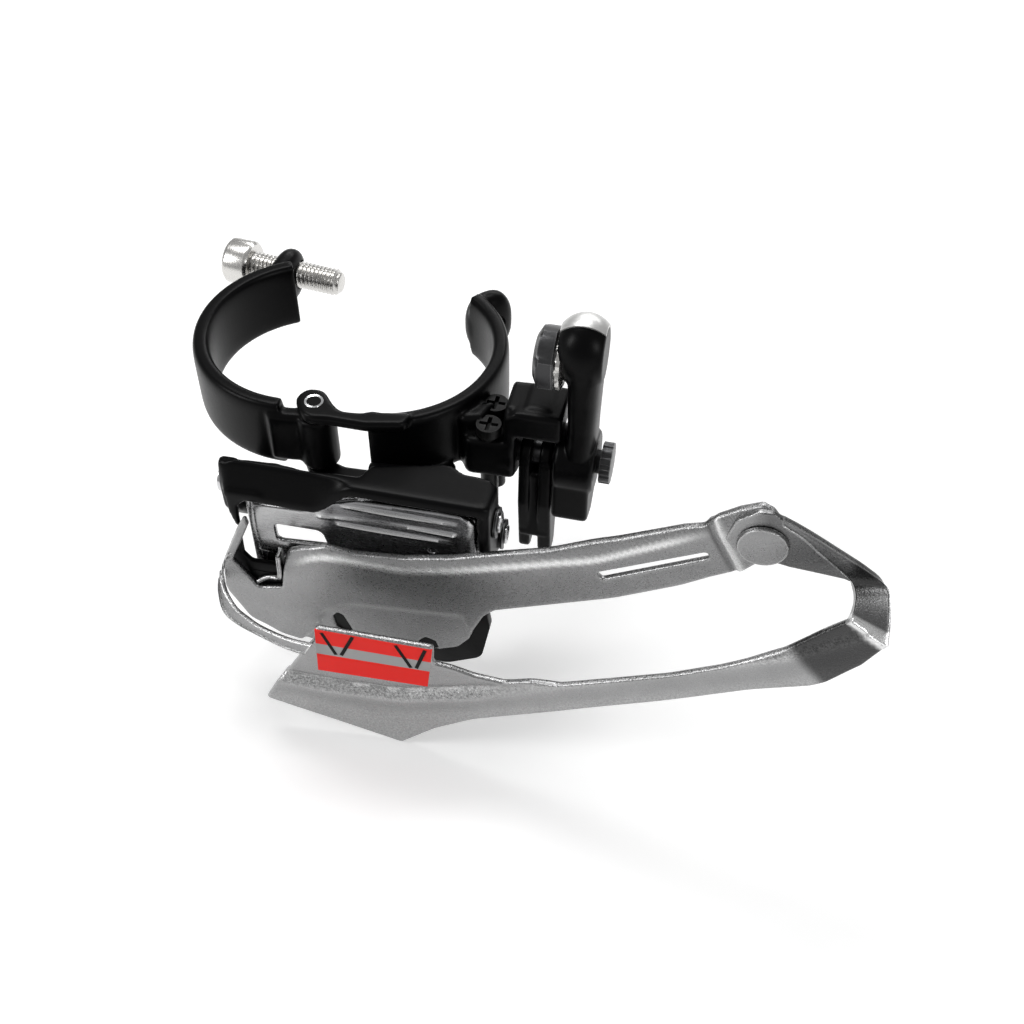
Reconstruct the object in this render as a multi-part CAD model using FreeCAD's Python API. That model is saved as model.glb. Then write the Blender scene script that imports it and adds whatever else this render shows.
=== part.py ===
import FreeCAD, Part
import os
from math import cos, sin, radians, hypot, tan, acos, pi

os.makedirs("parts", exist_ok=True)
V = FreeCAD.Vector

# Front derailleur, millimetres.  The Z axis is the axis of the seat-tube clamp, X runs
# along the cage towards its tail, and -Y points away from the seat tube.  The origin is
# the middle of the clamp's bore.

# --- driving sizes: clamp -------------------------------------------------------------
tube_r = 17.45          # 34.9 mm seat tube
band_wall = 3.0         # wall of jaw and strap
band_half = 6.5         # half the width of the band
edge_break = 0.7        # chamfer along the band's edges
jaw_start = -86.0       # the jaw's arc, degrees round the Z axis
jaw_end = 53.0
strap_start = -128.0    # the closed strap's arc, degrees, run clockwise
strap_end = -283.0
lug_turn = 42.0         # direction in which both lugs stand out, degrees
lug_line = tube_r + 3.15    # clamp bolt's axis, distance from the Z axis
lug_t = 5.0             # thickness of a lug
jaw_lug_half = 5.2      # half the height of each lug
strap_lug_half = 4.4
jaw_lug_reach = 5.4     # how far each lug stands out past the bolt's axis
strap_lug_reach = 3.9
hinge_angle = -112.0    # hinge pin, degrees round the Z axis
hinge_r = tube_r + 2.15     # hinge pin, distance from the Z axis
strap_open = 42.0       # how far the strap is swung open at rest
barrel_r = 3.3          # hinge barrel
ear_wall = 2.0          # plates above and below the hinge barrel
hinge_pin_r = 1.9

# --- driving sizes: clamp bolt --------------------------------------------------------
bolt_r = 2.5            # M5
bolt_shank = 17.0
bolt_head_r = 4.25
bolt_head_h = 5.0
bolt_back = 5.0         # how far the bolt stands out of its seat at rest
bolt_socket = 2.0       # half across the flats of the hexagon socket

# --- driving sizes: linkage -----------------------------------------------------------
link_length = 18.0
link_pin_r = 1.6
bush_wall = 0.55        # wall of a link bush
knuckle_r = 2.7         # rounding round every link pivot
pin_clear = 0.1         # between the inner pins and the outer link's flanges
outer_pivot = (-tube_r - 9.55, -4.5)     # fixed pivot of the outer link, Y and Z
inner_pivot = (outer_pivot[0] + knuckle_r + link_pin_r + pin_clear, -12.0)
frame_left = -20.8      # outer faces of the two frame ears, X
frame_right = 25.0
ear_left_t = 3.6        # thickness of each frame ear
ear_right_t = 2.2
link_sheet = 1.4        # sheet of the outer link
inner_link_from = -2.0
inner_link_to = 16.2
inner_link_plate = 3.0
top_plate_low = 0.2     # underside and thickness of the frame's top plate
top_plate = 2.0
plate_front = outer_pivot[0] - 1.9     # front edge of the frame's top plate, Y
lip_front = outer_pivot[0] - 4.9       # front face of the frame's lip, Y

# --- driving sizes: cage --------------------------------------------------------------
inner_face = outer_pivot[0] - 7.0      # front face of the cage's inner plate, Y
cage_width = 13.0       # between the front faces of the two plates
cage_datum = -22.5      # height the cage's outlines are drawn for, moving outer pivot, Z
plate_t = 1.2
bracket_t = 1.6
bracket_ear = 1.9
tail_rivet_r = 4.2

# --- driving sizes: cable arm ---------------------------------------------------------
arm_pivot = (-11.0, -3.2)       # Y and Z
arm_from = 33.3                 # faces of the arm, X
arm_to = 38.9
arm_rise = 24.4                 # pivot to the centre of the arm's head
arm_head_r = 5.4
arm_hub_r = 5.6
arm_pin_r = 2.0
cable_bolt_rise = 21.6          # pivot to the cable bolt
cable_bolt_r = 2.5
fork_drop = 21.8                # pivot to the tips of the fork
fork_plate = 2.1
fork_gap = 1.5
fork_from = 25.7
boss_top = 1.4                  # top of the boss that holds the limit screws
boss_pin_from = 22.5            # inner end of the arm's pin, X
limit_r = 1.5                   # limit screw, M3
limit_head_r = 2.1

# --- clearances -----------------------------------------------------------------------
run_gap = 0.06          # running fit, on the radius
side_gap = 0.35         # between faces that slide past each other
bolt_gap = 0.25         # clearance hole, on the radius
touch_gap = 0.3         # between curved faces of different bodies

# --- sizes worked out from them -------------------------------------------------------
def band_mid(angle):
    """How far the middle of the band's wall lies along the bolt's direction, at an angle."""
    r = tube_r + band_wall / 2
    return r * (cos(radians(angle)) * lug_across[0] + sin(radians(angle)) * lug_across[1])


band_r = tube_r + band_wall
lug_out = (cos(radians(lug_turn)), sin(radians(lug_turn)))
lug_across = (lug_out[1], -lug_out[0])
hinge = (hinge_r * cos(radians(hinge_angle)), hinge_r * sin(radians(hinge_angle)))
outer_moving = (outer_pivot[0], outer_pivot[1] - link_length)
inner_moving = (inner_pivot[0], inner_pivot[1] - link_length)
ear_in_left = frame_left + ear_left_t
ear_in_right = frame_right - ear_right_t
link_left = ear_in_left + side_gap
link_right = ear_in_right - side_gap
outer_face = inner_face - cage_width
cage_shift = outer_moving[1] - cage_datum
inner_back = inner_face + plate_t
outer_back = outer_face + plate_t
jaw_lug_at = band_mid(jaw_end) - 0.5
strap_lug_at = band_mid(strap_end + 14.0)


# --- small tools ----------------------------------------------------------------------
def box(x, y, z):
    """Block between pairs of X, Y and Z values."""
    return Part.makeBox(x[1] - x[0], y[1] - y[0], z[1] - z[0], V(x[0], y[0], z[0]))


def rod_x(radius, x, centre):
    """Round bar along X, centred on a (Y, Z) pair."""
    return Part.makeCylinder(radius, x[1] - x[0], V(x[0], centre[0], centre[1]), V(1, 0, 0))


def rod_z(radius, z, centre):
    """Round bar along Z, centred on an (X, Y) pair."""
    return Part.makeCylinder(radius, z[1] - z[0], V(centre[0], centre[1], z[0]), V(0, 0, 1))


def rod_y(radius, y, centre):
    """Round bar along Y, centred on an (X, Z) pair."""
    return Part.makeCylinder(radius, y[1] - y[0], V(centre[0], y[0], centre[1]), V(0, 1, 0))


def corner(before, here, after, radius):
    """Start, middle and end of the arc that rounds a corner."""
    ax, ay = before[0] - here[0], before[1] - here[1]
    bx, by = after[0] - here[0], after[1] - here[1]
    al, bl = hypot(ax, ay), hypot(bx, by)
    ax, ay, bx, by = ax / al, ay / al, bx / bl, by / bl
    half = acos(max(-1.0, min(1.0, ax * bx + ay * by))) / 2
    reach = min(radius / tan(half), 0.48 * al, 0.48 * bl)
    inner = reach * tan(half)
    mx, my = ax + bx, ay + by
    ml = hypot(mx, my)
    dist = inner / sin(half) - inner
    start = (here[0] + ax * reach, here[1] + ay * reach)
    middle = (here[0] + mx / ml * dist, here[1] + my / ml * dist)
    end = (here[0] + bx * reach, here[1] + by * reach)
    return start, middle, end


def outline(points, place):
    """Closed wire through (a, b, corner radius) points; place(a, b) gives the 3D point."""
    count = len(points)
    edges = []
    last = None
    first = None
    for i in range(count):
        here = points[i]
        radius = here[2]
        if radius > 0:
            start, middle, end = corner(points[i - 1], here, points[(i + 1) % count], radius)
        else:
            start = middle = end = (here[0], here[1])
        if last is not None:
            edges.append(Part.LineSegment(place(*last), place(*start)).toShape())
        if radius > 0:
            edges.append(Part.Arc(place(*start), place(*middle), place(*end)).toShape())
        if first is None:
            first = start
        last = end
    edges.append(Part.LineSegment(place(*last), place(*first)).toShape())
    return Part.Wire(edges)


def slab(points, place, push):
    """Solid made by pushing a closed outline along a vector."""
    return Part.Face(outline(points, place)).extrude(push)


def slab_y(points, y0, y1):
    """Outline in X and Z, pushed from y0 to y1."""
    return slab(points, lambda a, b: V(a, y0, b), V(0, y1 - y0, 0))


def slab_x(points, x0, x1):
    """Outline in Y and Z, pushed from x0 to x1."""
    return slab(points, lambda a, b: V(x0, a, b), V(x1 - x0, 0, 0))


def slab_z(points, z0, z1):
    """Outline in X and Y, pushed from z0 to z1."""
    return slab(points, lambda a, b: V(a, b, z0), V(0, 0, z1 - z0))


def sector(r0, r1, z0, z1, a0, a1):
    """Part of a ring between two angles, in degrees."""
    def at(r, a):
        return V(r * cos(radians(a)), r * sin(radians(a)), z0)
    mid = (a0 + a1) / 2
    edges = [Part.Arc(at(r0, a0), at(r0, mid), at(r0, a1)).toShape(),
             Part.LineSegment(at(r0, a1), at(r1, a1)).toShape(),
             Part.Arc(at(r1, a1), at(r1, mid), at(r1, a0)).toShape(),
             Part.LineSegment(at(r1, a0), at(r0, a0)).toShape()]
    return Part.Face(Part.Wire(edges)).extrude(V(0, 0, z1 - z0))


def hull_x(first, second, radius, x0, x1):
    """Plate across X with round ends about two (Y, Z) points."""
    dy, dz = second[0] - first[0], second[1] - first[1]
    length = hypot(dy, dz)
    ny, nz = -dz / length * radius, dy / length * radius
    corners = [(first[0] + ny, first[1] + nz, 0), (second[0] + ny, second[1] + nz, 0),
               (second[0] - ny, second[1] - nz, 0), (first[0] - ny, first[1] - nz, 0)]
    bar = slab_x(corners, x0, x1)
    return bar.fuse([rod_x(radius, (x0, x1), first), rod_x(radius, (x0, x1), second)])


def band(a0, a1):
    """Clamp band between two angles, with its four long edges broken."""
    e = edge_break
    section = [(tube_r, -band_half + e), (tube_r + e, -band_half), (band_r - e, -band_half),
               (band_r, -band_half + e), (band_r, band_half - e), (band_r - e, band_half),
               (tube_r + e, band_half), (tube_r, band_half - e)]
    face = Part.Face(Part.makePolygon([V(a, 0, b) for a, b in section + section[:1]]))
    ring = face.revolve(V(0, 0, 0), V(0, 0, 1), a1 - a0)
    ring.rotate(V(0, 0, 0), V(0, 0, 1), a0)
    return ring


def clean(shape):
    """One tidy solid."""
    return shape.removeSplitter()


def write(name, shape):
    shape.exportStep("parts/" + name + ".step")
    print(name, len(shape.Solids), "solids", round(shape.Volume, 1), shape.isValid())


def turned(shape, angle):
    """A shape modelled for the closed strap, swung about the hinge pin."""
    moved = shape.copy()
    moved.rotate(V(hinge[0], hinge[1], 0), V(0, 0, 1), angle)
    return moved


def bore():
    """The space of the seat tube, a little over size."""
    return rod_z(tube_r, (-60, 60), (0, 0))


# --- clamp ----------------------------------------------------------------------------
def lug(at, half, reach):
    """Rounded tongue across the bolt's line; at is its place along the bolt."""
    base = (tube_r + band_wall / 2) ** 2 - at ** 2
    shape = slab([(base ** 0.5 - 1.4, -band_half + edge_break, 0),
                  (lug_line + reach, -half, half * 0.8),
                  (lug_line + reach, half, half * 0.8),
                  (base ** 0.5 - 1.4, band_half - edge_break, 0)],
                 lambda a, b: V(a, -lug_t / 2 - at, b), V(0, lug_t, 0))
    shape.rotate(V(0, 0, 0), V(0, 0, 1), lug_turn)
    return shape


def bolt_axis():
    """Point and direction of the clamp bolt, for the closed strap."""
    point = V(lug_out[0] * lug_line, lug_out[1] * lug_line, 0)
    return point, V(lug_across[0], lug_across[1], 0)


def jaw():
    """Fixed half of the clamp with its threaded lug."""
    ring = band(jaw_start, jaw_end)
    point, direction = bolt_axis()
    back = point + direction * (strap_lug_at + lug_t)
    hole = Part.makeCylinder(bolt_r + run_gap, 40, back, direction)
    return ring.fuse(lug(jaw_lug_at, jaw_lug_half, jaw_lug_reach)).cut(hole)


def hinge_ear(z0, z1):
    """Plate that reaches from the jaw over the hinge barrel."""
    r = barrel_r + 0.5
    tip = [(hinge[0] - r, hinge[1] - 0.2, 0), (hinge[0], hinge[1] - r, 0)]
    plate = slab_z([(hinge[0] - 0.2, hinge[1] - r, 0), (2.0, -band_r - 0.6, 0.8),
                    (8.6, -band_r + 1.4, 0.8), (8.0, -tube_r + 1.2, 0.4),
                    (-0.8, -tube_r + 0.4, 0.8), (hinge[0] + 1.2, hinge[1] + r - 0.4, 0.6)], z0, z1)
    return plate.fuse(rod_z(r, (z0, z1), hinge))


def frame():
    """Two ears and a top plate that carry the links."""
    top_high = top_plate_low + top_plate
    front = plate_front
    plan = [(frame_left + 1.6, front, 1.5), (frame_right, front, 1.5),
            (frame_right, front + 7.0, 1.2), (15.2, front + 7.2, 1.5), (14.6, -tube_r, 0),
            (3.0, -tube_r, 0), (1.6, front + 3.8, 1.5), (-11.0, front + 3.8, 1.5),
            (-12.0, front + 6.6, 1.2), (frame_left + 3.4, front + 6.6, 1.5)]
    plate = slab_z(plan, top_plate_low, top_high)
    drop = outer_pivot[1] - 1.0
    lip_low = top_plate_low + 0.9
    lip = slab_y([(frame_left + 0.4, drop, 0.8), (frame_left + 3.0, top_high, 1.2),
                  (4.0, top_high, 0.5), (4.0, lip_low, 0.5), (1.0, lip_low, 1.2),
                  (-6.0, drop - 0.5, 1.5), (-12.0, drop, 3.0)], lip_front, lip_front + 1.0)
    bridge = slab_y([(frame_left + 1.6, top_plate_low, 0), (2.0, top_plate_low, 0),
                     (2.0, top_high, 0), (frame_left + 3.0, top_high, 0)],
                    lip_front + 0.8, front + 1.6)
    ears = []
    for x0, x1 in ((frame_left, ear_in_left), (ear_in_right, frame_right)):
        plate_ear = hull_x(outer_pivot, inner_pivot, knuckle_r + 0.4, x0, x1)
        neck = slab_x([(front + 0.02, outer_pivot[1], 0), (front + 0.02, top_high, 1.0),
                       (front + 6.4, top_high, 0), (inner_pivot[0] + 3.5, inner_pivot[1] + 3.0, 0),
                       (inner_pivot[0], inner_pivot[1], 0)], x0, x1)
        ears += [plate_ear, neck]
    return plate.fuse([lip, bridge] + ears)


def arm_boss():
    """Block beside the jaw that carries the cable arm and the limit screws."""
    y, z = arm_pivot
    root = slab_z([(17.0, y + 1.0, 0), (21.2, y - 3.6, 1.0), (fork_from - side_gap, y - 4.6, 1.0),
                   (fork_from - side_gap, y + 4.6, 1.0), (19.6, y + 5.2, 0.8)],
                  z - 3.4, boss_top)
    cheek = rod_x(4.4, (boss_pin_from, fork_from - side_gap), arm_pivot)
    roof_low = z + knuckle_r + 1.0
    roof = slab_y([(fork_from - 1.4, roof_low, 0), (fork_end(), roof_low, 0.8),
                   (fork_end(), z + 11.6, 0.8), (27.4, z + 11.6, 1.0),
                   (25.4, z + 9.6, 1.0), (23.4, z + 8.4, 0.8), (23.4, roof_low, 0)],
                  y + 0.2, y + 4.6)
    shelf = slab_y([(fork_from - 1.4, roof_low, 0), (fork_end(), roof_low, 0.8),
                    (fork_end(), z + 11.6, 0.8), (27.4, z + 11.6, 1.0),
                    (26.2, z + 9.6, 1.0), (fork_from - 0.2, z + 7.0, 0.8)],
                   y - 4.0, y + 1.0)
    return root.fuse([cheek, roof, shelf])


def limit_screw_places():
    """X and Y of the two limit screws."""
    x = boss_pin_from - limit_r - touch_gap
    return [(x, arm_pivot[0] - 2.6), (x, arm_pivot[0] + 2.6)]


def clamp_body():
    """Jaw, hinge ears, link frame and arm boss, one casting."""
    top_ear = hinge_ear(band_half - 1.2, band_half - 1.2 + ear_wall)
    low_ear = hinge_ear(-band_half - ear_wall + 0.4, -band_half + 0.4)
    web = slab_z([(2.2, -band_r + 1.0, 0), (14.4, -band_r + 5.4, 0),
                  (14.4, outer_pivot[0] + 1.0, 0), (2.2, outer_pivot[0] + 1.0, 0)],
                 top_plate_low - 2.2, top_plate_low + 1.0)
    body = jaw().fuse([top_ear, low_ear, frame(), web, arm_boss()])
    swing = rod_z(barrel_r + touch_gap, (-band_half + 0.4, band_half - 1.2), hinge)
    space = sector(tube_r - 3, band_r + 3, -band_half + 0.4, band_half - 1.2, -150, jaw_start - 3.0)
    above = rod_z(tube_r + 1.0, (band_half, 20), (0, 0))
    below = rod_z(tube_r + 1.0, (-20, -band_half), (0, 0))
    body = body.cut([bore(), swing, space, above, below])
    holes = [rod_z(hinge_pin_r, (-20, 20), hinge),
             rod_x(link_pin_r, (-40, 40), outer_pivot),
             rod_x(link_pin_r, (-40, 40), inner_pivot),
             rod_x(arm_pin_r, (boss_pin_from, 30), arm_pivot)]
    for place in limit_screw_places():
        holes.append(rod_z(limit_r + run_gap, (-20, 20), place))
        holes.append(rod_z(limit_head_r + touch_gap, (boss_top, 20), place))
    return clean(body.cut(holes))


def strap_closed():
    """Hinged half of the clamp, in its closed place."""
    ring = band(strap_end, strap_start)
    low, high = -band_half + 0.4 + side_gap, band_half - 1.2 - side_gap
    barrel = rod_z(barrel_r, (low, high), hinge)
    web = sector(hinge_r - 1.6, hinge_r + 1.4, low, high, strap_start - 2.0, hinge_angle - 4.0)
    end = lug(strap_lug_at, strap_lug_half, strap_lug_reach)
    point, direction = bolt_axis()
    back = point - direction * 30
    hole = Part.makeCylinder(bolt_r + bolt_gap, 60, back, direction)
    pin = rod_z(hinge_pin_r + run_gap, (-20, 20), hinge)
    body = ring.fuse([barrel, web, end])
    ear_space = rod_z(barrel_r + 0.5 + touch_gap, (high + 0.01, 12), hinge)
    ear_space = ear_space.fuse(rod_z(barrel_r + 0.5 + touch_gap, (-12, low - 0.01), hinge))
    open_bore = bore()
    open_bore.rotate(V(hinge[0], hinge[1], 0), V(0, 0, 1), -strap_open)
    return clean(body.cut([hole, pin, bore(), open_bore, ear_space]))


def clamp_strap():
    return turned(strap_closed(), strap_open)


def bolt_line():
    """Under-head point and direction of the clamp bolt at rest, strap open."""
    point, direction = bolt_axis()
    seat = point + direction * (strap_lug_at - lug_t / 2 - bolt_back)
    return seat, direction


def clamp_bolt():
    """Socket-head cap screw, drawn back out of the lug at rest."""
    seat, direction = bolt_line()
    shank = Part.makeCylinder(bolt_r, bolt_shank, seat, direction)
    tip = Part.makeCone(bolt_r, bolt_r - 0.7, 0.9, seat + direction * bolt_shank, direction)
    head = Part.makeCylinder(bolt_head_r, bolt_head_h, seat - direction * bolt_head_h, direction)
    head = head.makeFillet(0.5, [e for e in head.Edges if len(e.Vertexes) == 1])
    side = V(0, 0, 1)
    across = direction.cross(side)
    hexagon = []
    for i in range(7):
        angle = radians(60 * i)
        spoke = side * cos(angle) + across * sin(angle)
        hexagon.append(seat - direction * bolt_head_h + spoke * (bolt_socket / cos(radians(30))))
    socket = Part.Face(Part.makePolygon(hexagon)).extrude(direction * (bolt_head_h * 0.55))
    return turned(clean(shank.fuse([tip, head]).cut(socket)), strap_open)


def hinge_pin():
    """Semi-tubular rivet through both ears and the barrel."""
    top = band_half - 1.2 + ear_wall
    low = -band_half - ear_wall + 0.4
    pin = rod_z(hinge_pin_r, (low - 0.6, top + 0.5), hinge)
    head = rod_z(hinge_pin_r + 0.7, (low - 0.6, low), hinge)
    flare = rod_z(hinge_pin_r + 0.35, (top, top + 0.5), hinge)
    well = rod_z(hinge_pin_r - 0.7, (top - 2.5, top + 2), hinge)
    return clean(pin.fuse([head, flare]).cut(well))


# --- linkage --------------------------------------------------------------------------
def outer_link():
    """Pressed steel channel with a ribbed face, a slot and two side flanges."""
    front = outer_pivot[0] - link_pin_r - touch_gap - link_sheet
    low = outer_moving[1] + 3.6
    shoulder = outer_pivot[1] - 5.0
    face = slab_y([(link_left, low, 1.0), (link_right, low, 1.0),
                   (link_right, outer_pivot[1] + 2.5, 1.6), (0.4, outer_pivot[1] + 2.5, 1.6),
                   (-8.6, shoulder - 1.2, 2.0), (link_left, shoulder, 1.6)],
                  front, front + link_sheet)
    slot = slab_y([(-14.2, -13.2, 1.1), (-5.2, -13.8, 1.1), (-4.2, -16.8, 0.9),
                   (-13.9, -16.4, 1.1)], front - 1, front + 3)
    ribs = []
    for i in range(3):
        rise = outer_pivot[1] - 2.0 - 1.9 * i
        ribs.append(slab_y([(-2.0 - i * 2.4, rise, 0.2), (link_right - 2.2, rise - 0.3, 0.2),
                            (link_right - 2.2, rise + 0.3, 0.2), (-2.0 - i * 2.4, rise + 0.6, 0.2)],
                           front - 0.35, front + 0.1))
    flanges = []
    for x0 in (link_left, link_right - link_sheet):
        flange = hull_x(outer_pivot, outer_moving, knuckle_r, x0, x0 + link_sheet)
        web = slab_x([(front, low, 0), (outer_pivot[0], low, 0), (outer_pivot[0], shoulder, 0),
                      (front, shoulder, 0)], x0, x0 + link_sheet)
        flanges += [flange, web]
    body = face.cut(slot).fuse(ribs + flanges)
    holes = []
    for x0 in (link_left, link_right - link_sheet):
        for centre in (outer_pivot, outer_moving):
            holes.append(rod_x(link_pin_r + bush_wall, (x0 - 1, x0 + link_sheet + 1), centre))
    return clean(body.cut(holes))


def link_bushes():
    """Plain bushes pressed into the outer link's flanges."""
    rings = []
    for x0 in (link_left, link_right - link_sheet):
        for centre in (outer_pivot, outer_moving):
            ring = rod_x(link_pin_r + bush_wall, (x0, x0 + link_sheet), centre)
            rings.append(ring.cut(rod_x(link_pin_r + run_gap, (x0 - 1, x0 + 3), centre)))
    return Part.makeCompound(rings)


def inner_link():
    """Short plate with a barrel at each end."""
    x = (inner_link_from, inner_link_to)
    half = inner_link_plate / 2
    plate = box(x, (inner_pivot[0] - half, inner_pivot[0] + half),
                (inner_moving[1], inner_pivot[1]))
    barrels = [rod_x(knuckle_r, x, inner_pivot), rod_x(knuckle_r, x, inner_moving)]
    holes = [rod_x(link_pin_r + run_gap, (-40, 40), inner_pivot),
             rod_x(link_pin_r + run_gap, (-40, 40), inner_moving)]
    return clean(plate.fuse(barrels).cut(holes))


def frame_pins():
    """The two fixed pivot pins, headed on the left."""
    pins = []
    for centre in (outer_pivot, inner_pivot):
        pin = rod_x(link_pin_r, (frame_left - 0.7, frame_right + 0.9), centre)
        head = rod_x(link_pin_r + 0.9, (frame_left - 0.7, frame_left), centre)
        groove = rod_x(link_pin_r, (frame_right + 0.05, frame_right + 0.55), centre)
        core = rod_x(link_pin_r - 0.4, (frame_right, frame_right + 0.6), centre)
        pins.append(clean(pin.fuse(head).cut(groove.cut(core))))
    return Part.makeCompound(pins)


def pin_clips():
    """Open retaining rings in the grooves of the frame pins."""
    clips = []
    for centre in (outer_pivot, inner_pivot):
        x = (frame_right + 0.1, frame_right + 0.5)
        ring = rod_x(link_pin_r + 1.0, x, centre).cut(rod_x(link_pin_r - 0.35, x, centre))
        mouth = box(x, (centre[0] - 0.9, centre[0] + 0.9), (centre[1] - 4, centre[1]))
        clips.append(ring.cut(mouth))
    return Part.makeCompound(clips)


def return_spring():
    """Torsion spring round the inner fixed pin, one leg on the frame and one on the link."""
    wire_r, mean_r = 0.5, link_pin_r + 0.8
    pitch = 1.25
    turns = 7
    start = ear_in_left + 2.6
    helix = Part.makeHelix(pitch, pitch * turns, mean_r)
    helix.rotate(V(0, 0, 0), V(0, 1, 0), 90)
    helix.rotate(V(0, 0, 0), V(1, 0, 0), 180)
    helix.translate(V(start, inner_pivot[0], inner_pivot[1]))
    path = Part.Wire(helix.Edges)
    origin = path.Edges[0].valueAt(path.Edges[0].FirstParameter)
    ahead = path.Edges[0].tangentAt(path.Edges[0].FirstParameter)
    ring = Part.Wire([Part.Circle(origin, ahead, wire_r).toShape()])
    return path.makePipeShell([ring], True, True)


# --- cage -----------------------------------------------------------------------------
def cage_slab(points, y0, y1):
    """Plate of the cage, drawn for the datum height and moved with the links' length."""
    return slab_y([(x, z + cage_shift, r) for x, z, r in points], y0, y1)


def cage_rod(radius, y, place):
    """Round bar along Y at a place drawn for the datum height."""
    return rod_y(radius, y, (place[0], place[1] + cage_shift))


def inner_outline():
    """Inner plate, X and Z: nose with a pocket, deep lobe, arm up to the tail."""
    return [(-20.8, -17.0, 6.0), (-15.6, -6.0, 0.9), (-14.6, -7.6, 0.5), (-18.6, -16.8, 1.0),
            (-15.4, -22.6, 1.0), (-11.0, -21.8, 1.0), (-9.8, -14.6, 1.5), (-8.8, -12.6, 1.5),
            (-2.0, -10.8, 3.0),
            (11.0, -9.6, 40.0), (27.0, -4.4, 60.0), (52.0, 7.4, 60.0), (60.0, 11.6, 4.0),
            (65.6, 16.2, 1.5), (70.6, 16.2, 1.5), (70.6, 4.6, 1.5), (66.6, 4.2, 4.0),
            (56.0, -4.2, 50.0), (44.0, -10.8, 60.0), (27.4, -18.4, 4.0), (24.0, -21.4, 3.0),
            (21.8, -29.6, 4.0), (16.0, -33.2, 3.0), (6.0, -35.6, 6.0), (-6.6, -36.6, 6.0),
            (-18.6, -30.6, 6.0), (-21.0, -24.0, 3.0)]


def cage_inner_plate():
    """Pressed plate next to the frame, with its top edge rolled back."""
    plate = cage_slab(inner_outline(), inner_face, inner_back)
    slot = cage_slab([(42.6, -6.4, 0.7), (59.6, 2.4, 0.7), (59.0, 3.9, 0.7), (42.0, -4.9, 0.7)],
                  inner_face - 1, inner_back + 1)
    notches = []
    for x, z in ((0.6, -27.6), (14.8, -30.0)):
        notch = cage_slab([(x - 1.6, z - 0.8, 0.7), (x + 0.6, z - 2.2, 0.7), (x + 1.8, z - 0.4, 0.7),
                        (x - 0.6, z + 1.2, 0.7)], inner_face - 1, inner_back + 1)
        notches.append(notch)
    rivet_hole = cage_rod(tail_rivet_r * 0.55, (-60, -20), tail_centre())
    lip_depth = 1.6
    lip_pts = [(-7.4, -12.8, 0), (-2.0, -11.4, 0), (11.0, -10.5, 0), (27.0, -5.3, 0),
               (52.0, 6.5, 0), (58.0, 9.5, 0), (58.6, 10.6, 0), (52.0, 7.4, 0), (27.0, -4.4, 0),
               (11.0, -9.6, 0), (-2.0, -10.6, 0), (-7.4, -11.4, 0)]
    lip = cage_slab(lip_pts, inner_back - 0.1, inner_back + lip_depth)
    return clean(plate.fuse(lip).cut([slot, rivet_hole] + notches))


def tail_centre():
    """X and Z of the tail rivet."""
    return (66.9, 9.6)


def outer_outline():
    """Outer plate, X and Z: pointed nose, deep front, arm up to the tail fold."""
    return [(-11.4, -37.2, 1.2), (-3.4, -22.4, 1.5), (-2.4, -15.6, 1.0), (19.4, -15.2, 1.0),
            (20.2, -18.6, 2.0), (31.0, -20.2, 8.0), (40.0, -18.0, 12.0), (56.0, -10.2, 60.0),
            (71.0, -1.0, 14.0), (79.4, 8.4, 5.0), (80.6, 16.8, 0.6), (86.2, 16.8, 0.4),
            (86.2, 6.6, 1.2), (78.8, -4.0, 8.0), (56.0, -16.6, 60.0), (25.6, -32.4, 30.0),
            (12.8, -43.2, 1.6), (0.4, -40.2, 20.0)]


def tail_web():
    """Diagonal wall that closes the tail, folded over the inner plate's end."""
    plan = [(86.2, outer_face, 0.3), (86.2, outer_back + 0.6, 1.2),
            (70.2, inner_face - plate_t + 0.9, 4.0), (61.2, inner_face, 0),
            (61.2, inner_face - plate_t, 0.2), (69.6, inner_face - plate_t, 4.0),
            (84.2, outer_back - 0.8, 1.2), (84.0, outer_face, 0.3)]
    wall = slab_z(plan, 4.4 + cage_shift, 17.0 + cage_shift)
    crop = cage_slab([(61.2, 11.6, 0.5), (65.0, 16.6, 2.0), (86.4, 16.8, 0.5), (86.4, 6.6, 0.5),
                   (80.0, 8.6, 2.0), (68.0, 4.6, 2.0), (61.2, 4.6, 2.0)], -70, -20)
    return wall.common(crop)


def nose_bridge():
    """Strip bent round the nose, joining both plates; its width runs down and inwards."""
    across = V(0, 0.67, -0.74)

    def place(a, b):
        return V(a, 0.74 * b + inner_face + 34.0, 0.67 * b + cage_shift) + across * -16.4
    path = [(-21.0, -37.0, 0.3), (-19.6, -42.6, 3.0), (-17.4, -46.0, 4.0), (-11.6, -48.8, 8.0),
            (-3.6, -51.4, 0.3), (-3.2, -50.0, 0.3), (-11.2, -47.4, 8.0), (-16.2, -44.8, 4.0),
            (-18.2, -42.0, 3.0), (-19.6, -37.0, 0.3)]
    strip = slab(path, place, across * 7.6)
    return strip.common(box((-30, 0), (outer_face, inner_face), (-60, 0)))


def cage_outer_plate():
    """Pressed plate on the far side of the chain, with its nose strip and tail fold."""
    plate = cage_slab(outer_outline(), outer_face, outer_back)
    body = plate.fuse([nose_bridge(), tail_web()])
    body = body.cut(cage_slab(inner_outline(), inner_face, inner_back))
    head_seat = cage_rod(tail_rivet_r, (inner_face - 4 * plate_t, inner_face - plate_t), tail_centre())
    return clean(body.cut([cage_rod(tail_rivet_r * 0.55, (-60, -20), tail_centre()), head_seat]))


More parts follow.
